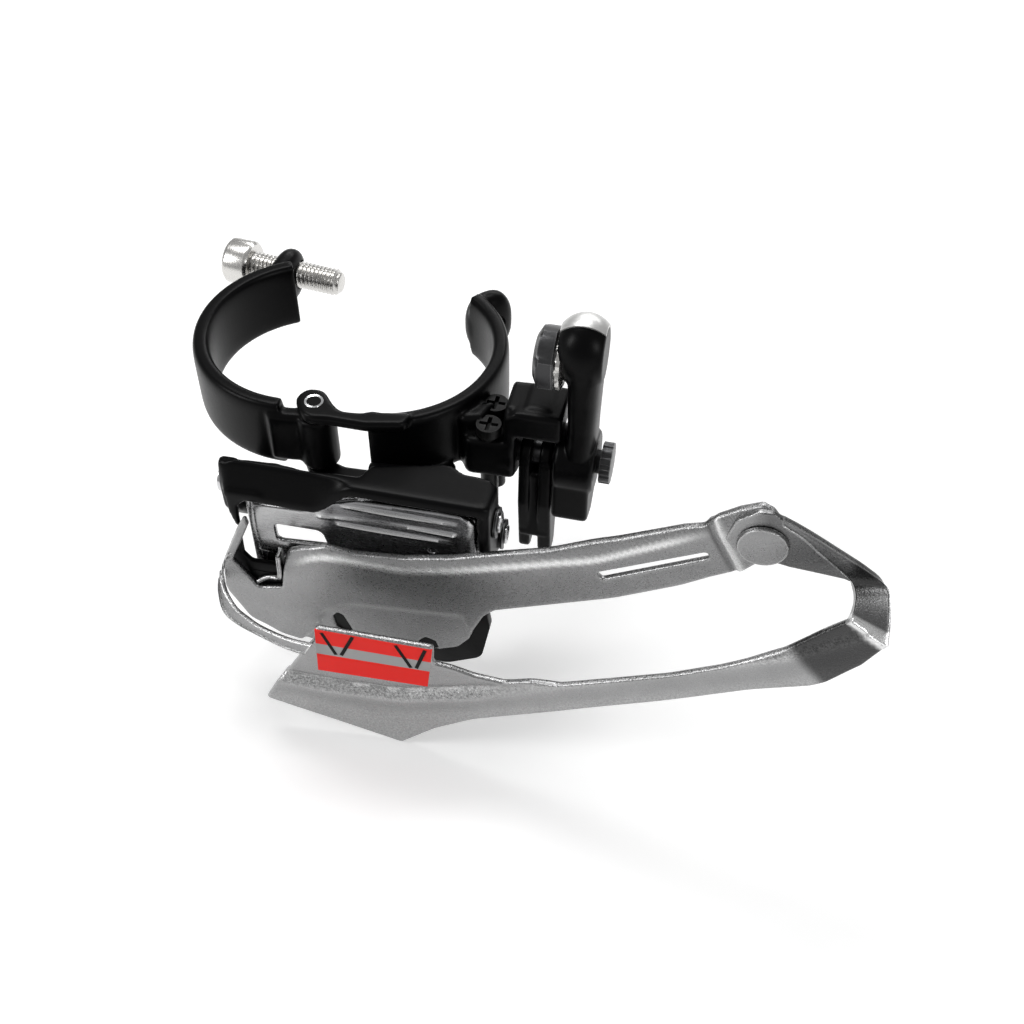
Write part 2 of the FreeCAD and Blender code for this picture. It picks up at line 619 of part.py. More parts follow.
def tail_rivet():
    """Large flat-headed rivet through the folded tail."""
    x, z = tail_centre()
    front = inner_face - plate_t
    head = cage_rod(tail_rivet_r, (front - 0.9, front), (x, z))
    head = head.makeFillet(0.4, [e for e in head.Edges
                                 if len(e.Vertexes) == 1 and e.BoundBox.YMax < front - 0.5])
    shank = cage_rod(tail_rivet_r * 0.55, (front, inner_back), (x, z))
    foot = cage_rod(tail_rivet_r * 0.8, (inner_back, inner_back + 0.7), (x, z))
    return clean(head.fuse([shank, foot]))


def bracket_rivet_places():
    """X and Z of the rivets that hold the inner plate to its bracket."""
    return [(-9.6, -22.6), (15.6, -23.8)]


def bracket_ears():
    """Left faces of the bracket's two ears, inside the outer link's flanges."""
    inside = link_sheet + side_gap
    return [link_left + inside, link_right - inside - bracket_ear]


def cage_bracket():
    """Black carrier behind the inner plate, with two ears for the moving pivots."""
    back = inner_back + bracket_t
    plate = cage_slab([(-17.2, -20.4, 1.0), (24.6, -20.4, 2.0), (25.2, -24.6, 3.0),
                    (23.6, -33.2, 3.0), (17.0, -36.8, 4.0), (-5.0, -32.6, 4.0),
                    (-17.2, -24.6, 2.0)], inner_back, back)
    ears = []
    for x0 in bracket_ears():
        ear = hull_x(outer_moving, inner_moving, knuckle_r, x0, x0 + bracket_ear)
        web = slab_x([(inner_back + 0.2, -21.4 + cage_shift, 0), (outer_moving[0], outer_moving[1] + 1.1, 0),
                      (inner_moving[0], inner_moving[1], 0), (inner_moving[0] - 1.0, -31.6 + cage_shift, 0),
                      (inner_back + 0.2, -31.6 + cage_shift, 0)], x0, x0 + bracket_ear)
        ears += [ear, web]
    holes = [rod_x(link_pin_r, (-40, 40), outer_moving),
             rod_x(link_pin_r, (-40, 40), inner_moving)]
    for place in bracket_rivet_places():
        holes.append(cage_rod(1.5, (-60, -20), place))
    return clean(plate.fuse(ears).cut(holes))


def bracket_rivets():
    """Flush rivets between bracket and inner plate."""
    rivets = []
    for place in bracket_rivet_places():
        shank = cage_rod(1.5, (inner_back, inner_back + bracket_t), place)
        foot = cage_rod(2.4, (inner_back + bracket_t, inner_back + bracket_t + 0.7), place)
        rivets.append(clean(shank.fuse(foot)))
    return Part.makeCompound(rivets)


def cage_pins():
    """The two moving pivot pins, held in the bracket's ears."""
    outer = rod_x(link_pin_r, (link_left - 0.1, link_right + 0.1), outer_moving)
    left, right = bracket_ears()
    inner = rod_x(link_pin_r, (left - 0.7, right + bracket_ear + 0.7), inner_moving)
    return Part.makeCompound([outer, inner])


def skid_pad():
    """Moulded wear pad on the back of the bracket."""
    back = inner_back + bracket_t
    pad = cage_slab([(-1.0, -31.8, 1.0), (15.4, -31.8, 1.0), (15.4, -35.6, 2.5), (4.0, -33.8, 2.0)],
                 back, back + 1.2)
    return pad


def alignment_sticker():
    """Thin film on the outer plate that shows the tooth clearance."""
    return cage_slab([(-0.2, -25.6, 0.4), (-0.4, -15.8, 0.4), (19.0, -15.4, 0.4), (18.8, -25.0, 0.4)],
                  outer_face - 0.15, outer_face)


# --- cable arm ------------------------------------------------------------------------
def arm_point(rise):
    return (arm_pivot[0], arm_pivot[1] + rise)


def cable_arm():
    """Long lever with a hub below and a clamp head on top."""
    bar = hull_x(arm_pivot, arm_point(arm_rise), arm_head_r - 0.9, arm_from, arm_to)
    head = rod_x(arm_head_r, (arm_from - 2.4, arm_to), arm_point(arm_rise))
    hub = rod_x(arm_hub_r, (fork_end() + side_gap, arm_to - 0.4), arm_pivot)
    y, z = arm_pivot
    foot = slab_x([(y - 5.0, z + 3.4, 1.0), (y + 4.0, z + 1.0, 1.0), (y + 4.0, z - 9.0, 2.5),
                   (y - 1.0, z - 11.4, 1.5), (y - 5.0, z - 10.6, 1.5)],
                  fork_end() + side_gap, arm_to - 0.8)
    body = bar.fuse([head, hub, foot])
    cap_seat = cap_blank(0.0)
    holes = [rod_x(arm_pin_r + run_gap, (20, 50), arm_pivot),
             rod_x(cable_bolt_r + run_gap, (20, 36.6), arm_point(cable_bolt_rise))]
    return clean(body.cut([cap_seat] + holes))


def fork_end():
    return fork_from + 2 * fork_plate + fork_gap


def cap_blank(gap):
    """Space of the cap over the top of the arm's head."""
    y, z = arm_point(arm_rise)
    shell = rod_x(arm_head_r + 0.01, (arm_from - 2.4, arm_to - 0.6), (y, z))
    core = rod_x(arm_head_r - 1.1, (arm_from - 3, arm_to + 1), (y, z))
    wedge = slab_x([(y - 9.0, z + 9.0, 0), (y, z, 0), (y + 9.0, z + 9.0, 0)], 20, 50)
    return shell.cut(core).common(wedge)


def arm_cap():
    """Bare metal pad over the top of the arm's head."""
    return clean(cap_blank(0.0))


def stop_fork():
    """Two hanging plates joined at the hub; the limit screws meet them."""
    y, z = arm_pivot
    plates = []
    for i in range(2):
        x0 = fork_from + i * (fork_plate + fork_gap)
        leg = slab_x([(y - 3.2, z, 0), (y - 2.4, z - fork_drop, 1.6), (y + 1.4, z - fork_drop, 1.6),
                      (y + 3.2, z, 0)], x0, x0 + fork_plate)
        plates += [leg, rod_x(knuckle_r + 0.5, (x0, x0 + fork_plate), arm_pivot)]
    tie = slab_x([(y - 3.0, z - 3.0, 0), (y - 2.8, z - 13.0, 0.8), (y + 2.0, z - 13.0, 0.8),
                  (y + 3.0, z - 3.0, 0)], fork_from, fork_end())
    body = plates[0].fuse(plates[1:] + [tie])
    return clean(body.cut(rod_x(arm_pin_r + run_gap, (20, 50), arm_pivot)))


def arm_pivot_pin():
    """Pin through the boss, the fork and the arm, with a knurled head."""
    pin = rod_x(arm_pin_r, (boss_pin_from, arm_to + 0.4), arm_pivot)
    head = rod_x(3.5, (arm_to + 0.4, arm_to + 2.2), arm_pivot)
    cuts = []
    for i in range(12):
        angle = radians(30 * i)
        centre = (arm_pivot[0] + 3.75 * cos(angle), arm_pivot[1] + 3.75 * sin(angle))
        cuts.append(rod_x(0.5, (arm_to - 1, arm_to + 4), centre))
    return clean(pin.fuse(head.cut(cuts)))


def cable_bolt():
    """Hexagon bolt that pinches the cable on the inner face of the arm's head."""
    y, z = arm_point(cable_bolt_rise)
    shank = rod_x(cable_bolt_r, (28.2, 36.2), (y, z))
    corners = []
    for i in range(7):
        angle = radians(60 * i + 15)
        corners.append(V(26.4, y + 4.7 * cos(angle), z + 4.7 * sin(angle)))
    head = Part.Face(Part.makePolygon(corners)).extrude(V(2.8, 0, 0))
    return clean(shank.fuse(head))


def cable_washer():
    """Toothed washer between the bolt's head and the arm."""
    y, z = arm_point(cable_bolt_rise)
    x = (29.2, arm_from - 2.4)
    ring = rod_x(4.9, (x[0], x[0] + 1.2), (y, z))
    teeth = []
    for i in range(10):
        angle = radians(36 * i)
        centre = (y + 3.9 * cos(angle), z + 3.9 * sin(angle))
        teeth.append(rod_x(0.55, (x[0] + 1.0, x[1]), centre))
    body = ring.fuse(teeth)
    return clean(body.cut(rod_x(cable_bolt_r + run_gap, (20, 40), (y, z))))


def limit_screw(place):
    """Small cross-head screw, tip down."""
    top = boss_top
    shank = rod_z(limit_r, (top - 16.0, top + 0.8), place)
    head = rod_z(limit_head_r, (top + 0.8, top + 2.6), place)
    slots = []
    for x, y in ((1.6, 0.35), (0.35, 1.6)):
        slots.append(box((place[0] - x, place[0] + x), (place[1] - y, place[1] + y),
                         (top + 1.6, top + 3.0)))
    return clean(shank.fuse(head).cut(slots))


screws = [limit_screw(place) for place in limit_screw_places()]
write("clamp_body", clamp_body())
write("clamp_strap", clamp_strap())
write("clamp_bolt", clamp_bolt())
write("hinge_pin", hinge_pin())
write("outer_link", outer_link())
write("link_bushes", link_bushes())
write("inner_link", inner_link())
write("frame_pins", frame_pins())
write("pin_clips", pin_clips())
write("return_spring", return_spring())
write("cage_inner_plate", cage_inner_plate())
write("cage_outer_plate", cage_outer_plate())
write("tail_rivet", tail_rivet())
write("cage_bracket", cage_bracket())
write("bracket_rivets", bracket_rivets())
write("cage_pins", cage_pins())
write("skid_pad", skid_pad())
write("alignment_sticker", alignment_sticker())
write("cable_arm", cable_arm())
write("arm_cap", arm_cap())
write("stop_fork", stop_fork())
write("arm_pivot_pin", arm_pivot_pin())
write("cable_bolt", cable_bolt())
write("cable_washer", cable_washer())
write("low_limit_screw", screws[0])
write("high_limit_screw", screws[1])
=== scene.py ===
from math import radians

import bmesh
import bpy
import numpy as np
from mathutils import Matrix, Vector
from mathutils.geometry import delaunay_2d_cdt


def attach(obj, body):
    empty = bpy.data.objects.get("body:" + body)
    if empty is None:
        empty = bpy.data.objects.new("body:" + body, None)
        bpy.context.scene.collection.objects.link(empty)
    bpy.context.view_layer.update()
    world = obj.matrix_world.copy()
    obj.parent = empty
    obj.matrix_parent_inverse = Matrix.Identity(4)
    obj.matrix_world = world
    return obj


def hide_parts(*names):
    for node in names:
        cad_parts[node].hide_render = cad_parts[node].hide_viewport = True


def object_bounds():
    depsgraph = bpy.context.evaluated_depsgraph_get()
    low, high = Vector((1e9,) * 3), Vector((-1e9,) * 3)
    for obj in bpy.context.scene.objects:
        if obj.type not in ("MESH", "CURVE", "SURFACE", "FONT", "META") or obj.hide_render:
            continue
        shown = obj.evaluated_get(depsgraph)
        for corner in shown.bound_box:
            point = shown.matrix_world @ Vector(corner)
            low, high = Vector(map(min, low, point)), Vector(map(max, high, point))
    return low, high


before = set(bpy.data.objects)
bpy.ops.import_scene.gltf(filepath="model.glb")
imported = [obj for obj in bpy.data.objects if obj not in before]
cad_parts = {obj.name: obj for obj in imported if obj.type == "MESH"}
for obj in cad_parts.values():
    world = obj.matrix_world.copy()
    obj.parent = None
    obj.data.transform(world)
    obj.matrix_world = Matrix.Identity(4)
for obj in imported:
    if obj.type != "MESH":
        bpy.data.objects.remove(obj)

bl_info = {
    "name": "Front derailleur",
    "version": (1, 0, 0),
    "blender": (4, 5, 0),
    "location": "View3D > Sidebar > Derailleur",
    "description": "Surfaces and finishes of a clamp-on front derailleur",
    "category": "Add Mesh",
}

CAD_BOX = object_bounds()
MM = 0.001                # metres in a millimetre; shapes are worked out in millimetres

HINGE = np.array([-7.342, -18.173])     # the strap's hinge pin, X and Y
STRAP_TURN = 42.0         # how far the strap stands open, degrees
LUG_TURN = radians(42.0)  # direction in which the clamp's lugs stand out, from the X axis
BOLT_OUT = 20.6           # the closed clamp bolt's distance from the Z axis
BOLT_END = (-38.5, 23.53, 0.0)          # far end of the open clamp bolt's head
BOLT_AXIS = (0.994522, -0.104528, 0.0)  # and its direction
BORE = (17.45, 20.5)      # inner and outer radius of the clamp band
ARM_PIVOT = (-11.0, -3.2) # the cable arm's pivot, Y and Z
INNER_FACE = -34.0        # Y of the inner plate's front face
OUTER_FACE = -47.0        # Y of the outer plate's front face


# --- curves ---------------------------------------------------------------------------
def ease(t):
    """Smooth step: 0 below 0, 1 above 1, 3t^2 - 2t^3 between."""
    t = np.clip(t, 0.0, 1.0)
    return t * t * (3.0 - 2.0 * t)


def soft_ramp(d, w):
    """Zero below 0 and d above 0, with a bend about w wide: w ln(1 + e^(d/w))."""
    return w * np.logaddexp(0.0, d / w)


def along(points, n):
    """Catmull-Rom curve through the points, n samples evenly spaced in the parameter."""
    p = np.asarray(points, float)
    ends = np.vstack([2 * p[0] - p[1], p, 2 * p[-1] - p[-2]])
    t = np.linspace(0, len(p) - 1 - 1e-9, n)
    i = t.astype(int)
    u = (t - i)[:, None]
    a, b, c, d = ends[i], ends[i + 1], ends[i + 2], ends[i + 3]
    return 0.5 * (2 * b + (c - a) * u + (2 * a - 5 * b + 4 * c - d) * u ** 2
                  + (3 * b - a - 3 * c + d) * u ** 3)


def rounded(corners, step=0.5):
    """Closed outline through (x, y, radius) corners, each rounded by an arc, then
    sampled about every step."""
    parts = []
    count = len(corners)
    for k in range(count):
        here = np.array(corners[k][:2], float)
        to_a = np.array(corners[k - 1][:2], float) - here
        to_b = np.array(corners[(k + 1) % count][:2], float) - here
        la, lb = np.linalg.norm(to_a), np.linalg.norm(to_b)
        ua, ub = to_a / la, to_b / lb
        half = np.arccos(np.clip(ua @ ub, -1, 1)) / 2
        radius = corners[k][2]
        if radius <= 0 or half > 1.55:
            parts.append(here[None])
            continue
        reach = min(radius / np.tan(half), 0.48 * la, 0.48 * lb)
        r = reach * np.tan(half)
        mid = (ua + ub) / np.linalg.norm(ua + ub)
        centre = here + mid * r / np.sin(half)
        start, end = here + ua * reach - centre, here + ub * reach - centre
        turn = np.pi - 2 * half
        n = max(3, int(np.ceil(r * turn / step)) + 1, int(turn / 0.25) + 2)
        t = np.linspace(0, 1, n)[:, None]
        parts.append(centre + (start * np.sin((1 - t) * turn) + end * np.sin(t * turn))
                     / np.sin(turn))
    p = np.vstack(parts)
    q = np.roll(p, -1, axis=0)
    gap = np.linalg.norm(q - p, axis=1)
    n = np.maximum(1, np.ceil(gap / step).astype(int))
    k = np.repeat(np.arange(len(p)), n)
    first = np.repeat(np.cumsum(n) - n, n)
    t = ((np.arange(len(k)) - first) / n[k])[:, None]
    return p[k] * (1 - t) + q[k] * t


def inside(points, loop):
    """Even-odd test of points against a closed outline, for all of them at once."""
    a, b = loop, np.roll(loop, -1, axis=0)
    x, y = points[:, :1], points[:, 1:]
    cross = (a[:, 1] > y) != (b[:, 1] > y)
    rise = np.where(b[:, 1] == a[:, 1], 1e-12, b[:, 1] - a[:, 1])
    at = a[:, 0] + (y - a[:, 1]) * (b[:, 0] - a[:, 0]) / rise
    return (np.sum(cross & (x < at), axis=1) % 2) == 1


def edge_distance(points, loops):
    """Distance from each point to the nearest stretch of the closed outlines."""
    best = np.full(len(points), 1e9)
    for loop in loops:
        a, b = loop, np.roll(loop, -1, axis=0)
        d = b - a
        l2 = np.maximum((d ** 2).sum(1), 1e-12)
        rel = points[:, None, :] - a[None]
        t = np.clip((rel * d).sum(2) / l2, 0, 1)
        gap = np.linalg.norm(rel - t[..., None] * d, axis=2).min(1)
        best = np.minimum(best, gap)
    return best


# --- meshes ---------------------------------------------------------------------------
def join(*parts):
    """Several (vertices, faces) pairs as one pair."""
    verts, faces, base = [], [], 0
    for v, f in parts:
        verts.append(np.asarray(v, float))
        faces += [tuple(i + base for i in face) for face in f]
        base += len(v)
    return np.vstack(verts), faces


def grid(points, wrap_u=False, wrap_v=True, cap=True):
    """Faces over a (u, v, 3) grid; the ends in u are closed by one face each."""
    nu, nv = points.shape[:2]
    verts = points.reshape(-1, 3)
    iu = np.arange(nu if wrap_u else nu - 1)
    iv = np.arange(nv if wrap_v else nv - 1)
    u, v = np.meshgrid(iu, iv, indexing="ij")
    u2, v2 = (u + 1) % nu, (v + 1) % nv
    quads = np.stack([u * nv + v, u * nv + v2, u2 * nv + v2, u2 * nv + v], -1).reshape(-1, 4)
    faces = [tuple(q) for q in quads.tolist()]
    if cap and not wrap_u:
        faces.append(tuple(range(nv - 1, -1, -1)))
        faces.append(tuple(range((nu - 1) * nv, nu * nv)))
    return verts, faces


def lathe(profile, origin, axis, n=48, shape=None):
    """Profile of (radius, height) pairs turned round an axis; shape(angle, height) may
    scale the radius."""
    axis = np.array(axis, float) / np.linalg.norm(axis)
    side = np.cross(axis, (0.3, 0.2, 0.9))
    side /= np.linalg.norm(side)
    other = np.cross(axis, side)
    angle = np.linspace(0, 2 * np.pi, n, endpoint=False)
    prof = np.asarray(profile, float)
    r, h = prof[:, :1], prof[:, 1:]
    if shape is not None:
        r = r * shape(angle[None], h)
    else:
        r = r * np.ones((1, n))
    p = (np.array(origin, float) + h[..., None] * axis
         + (r * np.cos(angle))[..., None] * side + (r * np.sin(angle))[..., None] * other)
    return grid(p)


def prism(loop, low, high, place, edge=0.4, steps=3):
    """Outline pushed from low to high, its rims rounded: each ring is the outline moved
    inwards by edge(1 - cos) while its height follows edge(sin)."""
    loop = np.asarray(loop, float)
    area = np.sum(loop[:, 0] * np.roll(loop[:, 1], -1) - np.roll(loop[:, 0], -1) * loop[:, 1])
    if area < 0:
        loop = loop[::-1]
    t = np.roll(loop, -1, axis=0) - np.roll(loop, 1, axis=0)
    t /= np.maximum(np.linalg.norm(t, axis=1, keepdims=True), 1e-9)
    inward = np.stack([-t[:, 1], t[:, 0]], 1)
    a = np.linspace(0, np.pi / 2, steps + 1)
    move = np.concatenate([edge * (1 - np.sin(a)), edge * (1 - np.cos(a))])
    height = np.concatenate([low + edge * (1 - np.cos(a)), high - edge * (1 - np.sin(a))])
    ring = loop[None] + move[:, None, None] * inward[None]
    h = np.broadcast_to(height[:, None], ring.shape[:2])
    return grid(place(ring[..., 0], ring[..., 1], h))


def plane_xy(a, b, h):
    """Outline in X and Y, pushed along Z."""
    return np.stack([a, b, h], -1)


def plane_xz(a, b, h):
    """Outline in X and Z, pushed along Y."""
    return np.stack([a, h, b], -1)


def plane_yz(a, b, h):
    """Outline in Y and Z, pushed along X."""
    return np.stack([h, a, b], -1)


def pressed(outline, holes, front, thick, edge=0.3, spacing=0.8):
    """Pressed sheet in the XZ plane: front(x, z) gives the front face's Y, the back lies
    thick behind it, and both fall back within edge of every rim by a quarter circle."""
    loops = [outline] + list(holes)
    low, high = outline.min(0), outline.max(0)
    gx, gz = np.meshgrid(np.arange(low[0], high[0], spacing), np.arange(low[1], high[1], spacing))
    gx = gx + (np.arange(gx.shape[0])[:, None] % 2) * spacing / 2
    rows = np.stack([gx.ravel(), gz.ravel()], 1)
    rings = []
    for loop in loops:
        t = np.roll(loop, -1, axis=0) - np.roll(loop, 1, axis=0)
        t /= np.maximum(np.linalg.norm(t, axis=1, keepdims=True), 1e-9)
        n = np.stack([-t[:, 1], t[:, 0]], 1)
        for d in (0.35 * edge, edge):
            rings += [loop + n * d, loop - n * d]
    rings = np.vstack(rings)

    def keep(points, margin):
        ok = inside(points, outline)
        for hole in holes:
            ok &= ~inside(points, hole)
        return points[ok & (edge_distance(points, loops) > margin)]
    rings = keep(rings, 0.3 * edge)
    rows = keep(rows, edge + 0.3 * spacing)
    all_points = np.vstack(loops + [rings, rows])
    edges, base = [], 0
    for loop in loops:
        k = np.arange(len(loop))
        edges += np.stack([base + k, base + (k + 1) % len(loop)], 1).tolist()
        base += len(loop)
    made = delaunay_2d_cdt(all_points.tolist(), edges, [], 0, 1e-5)
    flat = np.array(made[0], float)
    tris = np.array(made[2])
    middle = flat[tris].mean(1)
    ok = inside(middle, outline)
    for hole in holes:
        ok &= ~inside(middle, hole)
    tris = tris[ok]
    used, tris = np.unique(tris, return_inverse=True)
    tris = tris.reshape(-1, 3)
    flat = flat[used]
    d = np.clip(edge_distance(flat, loops) / edge, 0, 1)
    fall = edge * (1 - np.sqrt(1 - (1 - d) ** 2))
    y = front(flat[:, 0], flat[:, 1])
    near = np.stack([flat[:, 0], y + fall, flat[:, 1]], 1)
    far = np.stack([flat[:, 0], y + thick - fall, flat[:, 1]], 1)
    n = len(flat)
    a = np.vstack([tris[:, [0, 1]], tris[:, [1, 2]], tris[:, [2, 0]]])
    key = np.minimum(a[:, 0], a[:, 1]) * n + np.maximum(a[:, 0], a[:, 1])
    _, first, counts = np.unique(key, return_index=True, return_counts=True)
    rim = a[first[counts == 1]]
    walls = np.stack([rim[:, 1], rim[:, 0], rim[:, 0] + n, rim[:, 1] + n], 1)
    faces = ([tuple(t) for t in tris.tolist()]
             + [tuple(t) for t in (tris[:, ::-1] + n).tolist()]
             + [tuple(t) for t in walls.tolist()])
    return np.vstack([near, far]), faces


def band(path, across, half, thick, edge=0.3):
    """Strip carried along a path: across gives each point's width direction, half its
    half width; the strip is thick deep and its rims are quarter circles."""
    p = np.asarray(path, float)
    w = np.asarray(across, float)
    w /= np.linalg.norm(w, axis=1, keepdims=True)
    t = np.gradient(p, axis=0)
    t /= np.linalg.norm(t, axis=1, keepdims=True)
    n = np.cross(t, w)
    n /= np.linalg.norm(n, axis=1, keepdims=True)
    a = np.linspace(0, np.pi / 2, 4)
    flat = np.concatenate([-1 + 0 * a, 1 + 0 * a, 1 + 0 * a, -1 + 0 * a])
    inset = edge * np.concatenate([1 - np.sin(a), 1 - np.cos(a), 1 - np.sin(a), 1 - np.cos(a)])
    deep = np.concatenate([edge * (1 - np.cos(a)), edge * (1 - np.sin(a)),
                           thick - edge * (1 - np.cos(a)), thick - edge * (1 - np.sin(a))])
    half = np.broadcast_to(np.asarray(half, float), (len(p),))
    u = flat[None] * (half[:, None] - inset[None])
    return grid(p[:, None] + u[..., None] * w[:, None] + deep[None, :, None] * n[:, None])


def close_seams(mesh):
    """Merge doubles and turn every face outwards."""
    bm = bmesh.new()
    bm.from_mesh(mesh)
    bmesh.ops.remove_doubles(bm, verts=bm.verts, dist=1e-7)
    bmesh.ops.recalc_face_normals(bm, faces=bm.faces)
    bm.to_mesh(mesh)
    bm.free()


def piece(name, shape, body, material, nodes=(), sharp=38, melt=0.0, soften=6, bore=None):
    """Object from a (vertices, faces) pair in millimetres.  melt is the voxel size, in
    millimetres, of the remesh that fuses overlapping solids into one cast form; bore is a
    (vertices, faces) pair that is cut out of the fused form."""
    verts, faces = shape
    mesh = bpy.data.meshes.new(name)
    mesh.from_pydata((np.asarray(verts) * MM).tolist(), [], faces)
    close_seams(mesh)
    obj = bpy.data.objects.new(name, mesh)
    bpy.context.scene.collection.objects.link(obj)
    if melt:
        fuse = obj.modifiers.new("fuse", "REMESH")
        fuse.mode = "VOXEL"
        fuse.voxel_size = melt * MM
        calm = obj.modifiers.new("calm", "SMOOTH")
        calm.factor = 0.5
        calm.iterations = soften
        cutter = None
        if bore:
            tool = bpy.data.meshes.new(name + "_bore")
            tool.from_pydata((np.asarray(bore[0]) * MM).tolist(), [], bore[1])
            cutter = bpy.data.objects.new(name + "_bore", tool)
            bpy.context.scene.collection.objects.link(cutter)
            cut = obj.modifiers.new("bore", "BOOLEAN")
            cut.operation = "DIFFERENCE"
            cut.solver = "EXACT"
            cut.object = cutter
        bpy.context.view_layer.update()
        graph = bpy.context.evaluated_depsgraph_get()
        cast = bpy.data.meshes.new_from_object(obj.evaluated_get(graph))
        obj.modifiers.clear()
        obj.data = cast
        cast.name = name
        cast.shade_smooth()
        if cutter:
            cast.set_sharp_from_angle(angle=radians(50))
            bpy.data.objects.remove(cutter)
            bpy.data.meshes.remove(tool)
    else:
        mesh.shade_smooth()
        mesh.set_sharp_from_angle(angle=radians(sharp))
    obj.data.materials.clear()
    obj.data.materials.append(material)
    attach(obj, body)
    if nodes:
        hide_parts(*nodes)
    return obj


def points_of(mesh):
    """The mesh's points in millimetres, one row each."""
    flat = np.zeros(len(mesh.vertices) * 3)
    mesh.vertices.foreach_get("co", flat)
    return flat.reshape(-1, 3) / MM


def mark(obj, name, where):
    """Float attribute, 0 to 1, worked out from each point's place in millimetres."""
    mesh = obj.data
    p = points_of(mesh)
    layer = mesh.attributes.new(name, "FLOAT", "POINT")
    layer.data.foreach_set("value", np.clip(where(p[:, 0], p[:, 1], p[:, 2]), 0, 1).astype(float))


def eased(name, node, body, material, width=0.25, angle=30):
    """Merged copy of a CAD node's mesh with its edges rounded, as a piece of its own."""
    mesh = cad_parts[node].data.copy()
    mesh.name = name
    close_seams(mesh)
    obj = bpy.data.objects.new(name, mesh)
    bpy.context.scene.collection.objects.link(obj)
    soft = obj.modifiers.new("edges", "BEVEL")
    soft.width = width * MM
    soft.segments = 3
    soft.limit_method = "ANGLE"
    soft.angle_limit = radians(angle)
    soft.harden_normals = False
    mesh.shade_smooth()
    mesh.set_sharp_from_angle(angle=radians(angle + 10))
    mesh.materials.clear()
    mesh.materials.append(material)
    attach(obj, body)
    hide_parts(node)
    return obj


def finish_node(node, material):
    """Give a CAD node that is shown as it is its finish."""
    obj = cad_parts[node]
    if not obj.material_slots:
        obj.data.materials.append(material)
    for slot in obj.material_slots:
        slot.material = material


# --- effects shared between finishes --------------------------------------------------
def group(name, inputs, outputs):
    """Empty shader node group with float inputs (name, default) and outputs (name, kind)."""
    tree = bpy.data.node_groups.new(name, "ShaderNodeTree")
    for label, value in inputs:
        socket = tree.interface.new_socket(label, in_out="INPUT", socket_type="NodeSocketFloat")
        socket.default_value = value
    for label, kind in outputs:
        tree.interface.new_socket(label, in_out="OUTPUT", socket_type="NodeSocket" + kind)
    start = tree.nodes.new("NodeGroupInput")
    end = tree.nodes.new("NodeGroupOutput")
    return tree, start.outputs, end.inputs


def node(tree, kind, **values):
    """Node with its properties, and its sockets where the name is a socket's."""
    made = tree.nodes.new(kind)
    for key, value in values.items():
        if hasattr(made, key):
            setattr(made, key, value)
        else:
            made.inputs[key].default_value = value
    return made


def maths(tree, operation, a, b=None, clamp=False):
    """Math node on two values or sockets."""
    made = tree.nodes.new("ShaderNodeMath")
    made.operation = operation
    made.use_clamp = clamp
    for socket, value in ((made.inputs[0], a), (made.inputs[1], b)):
        if value is None:
            continue
        if isinstance(value, (int, float)):
            socket.default_value = value
        else:
            tree.links.new(value, socket)
    return made.outputs[0]


def grain_group():
    """Fine even grain and slow cloudy variation, both about 0.5, and a bumped normal."""
    tree, given, out = group("Grain", [("Size", 0.4), ("Stretch", 1.0), ("Clouds", 12.0),
                                       ("Depth", 0.05)],
                             [("Fine", "Float"), ("Cloudy", "Float"), ("Normal", "Vector")])
    link = tree.links.new
    place = node(tree, "ShaderNodeTexCoord").outputs["Object"]
    squeeze = node(tree, "ShaderNodeCombineXYZ", Y=1.0, Z=1.0)
    link(maths(tree, "DIVIDE", 1.0, given["Stretch"]), squeeze.inputs["X"])
    drawn = node(tree, "ShaderNodeVectorMath", operation="MULTIPLY")
    link(place, drawn.inputs[0])
    link(squeeze.outputs[0], drawn.inputs[1])
    fine = node(tree, "ShaderNodeTexNoise", Detail=3.0, Roughness=0.6)
    link(drawn.outputs[0], fine.inputs["Vector"])
    link(maths(tree, "DIVIDE", 1000.0, given["Size"]), fine.inputs["Scale"])
    slow = node(tree, "ShaderNodeTexNoise", Detail=2.0, Roughness=0.5)
    link(place, slow.inputs["Vector"])
    link(maths(tree, "DIVIDE", 1000.0, given["Clouds"]), slow.inputs["Scale"])
    bump = node(tree, "ShaderNodeBump", Distance=0.0001)
    link(fine.outputs[0], bump.inputs["Height"])
    link(given["Depth"], bump.inputs["Strength"])
    link(fine.outputs[0], out["Fine"])
    link(slow.outputs[0], out["Cloudy"])
    link(bump.outputs[0], out["Normal"])
    return tree


def wear_group():
    """1 along outward edges and 0 elsewhere, broken up by a fine noise."""
    tree, given, out = group("Edge wear", [("Width", 0.3), ("Amount", 1.0)], [("Edge", "Float")])
    link = tree.links.new
    bevel = node(tree, "ShaderNodeBevel", samples=6)
    link(maths(tree, "MULTIPLY", given["Width"], MM), bevel.inputs["Radius"])
    flat = node(tree, "ShaderNodeNewGeometry")
    dot = node(tree, "ShaderNodeVectorMath", operation="DOT_PRODUCT")
    link(bevel.outputs[0], dot.inputs[0])
    link(flat.outputs["Normal"], dot.inputs[1])
    bend = maths(tree, "SUBTRACT", 1.0, dot.outputs["Value"])
    edge = maths(tree, "MULTIPLY", bend, 7.0, clamp=True)
    place = node(tree, "ShaderNodeTexCoord").outputs["Object"]
    noise = node(tree, "ShaderNodeTexNoise", Scale=1400.0, Detail=3.0)
    link(place, noise.inputs["Vector"])
    broken = maths(tree, "MULTIPLY", edge, maths(tree, "ADD", noise.outputs[0], 0.35), clamp=True)
    link(maths(tree, "MULTIPLY", broken, given["Amount"], clamp=True), out["Edge"])
    return tree


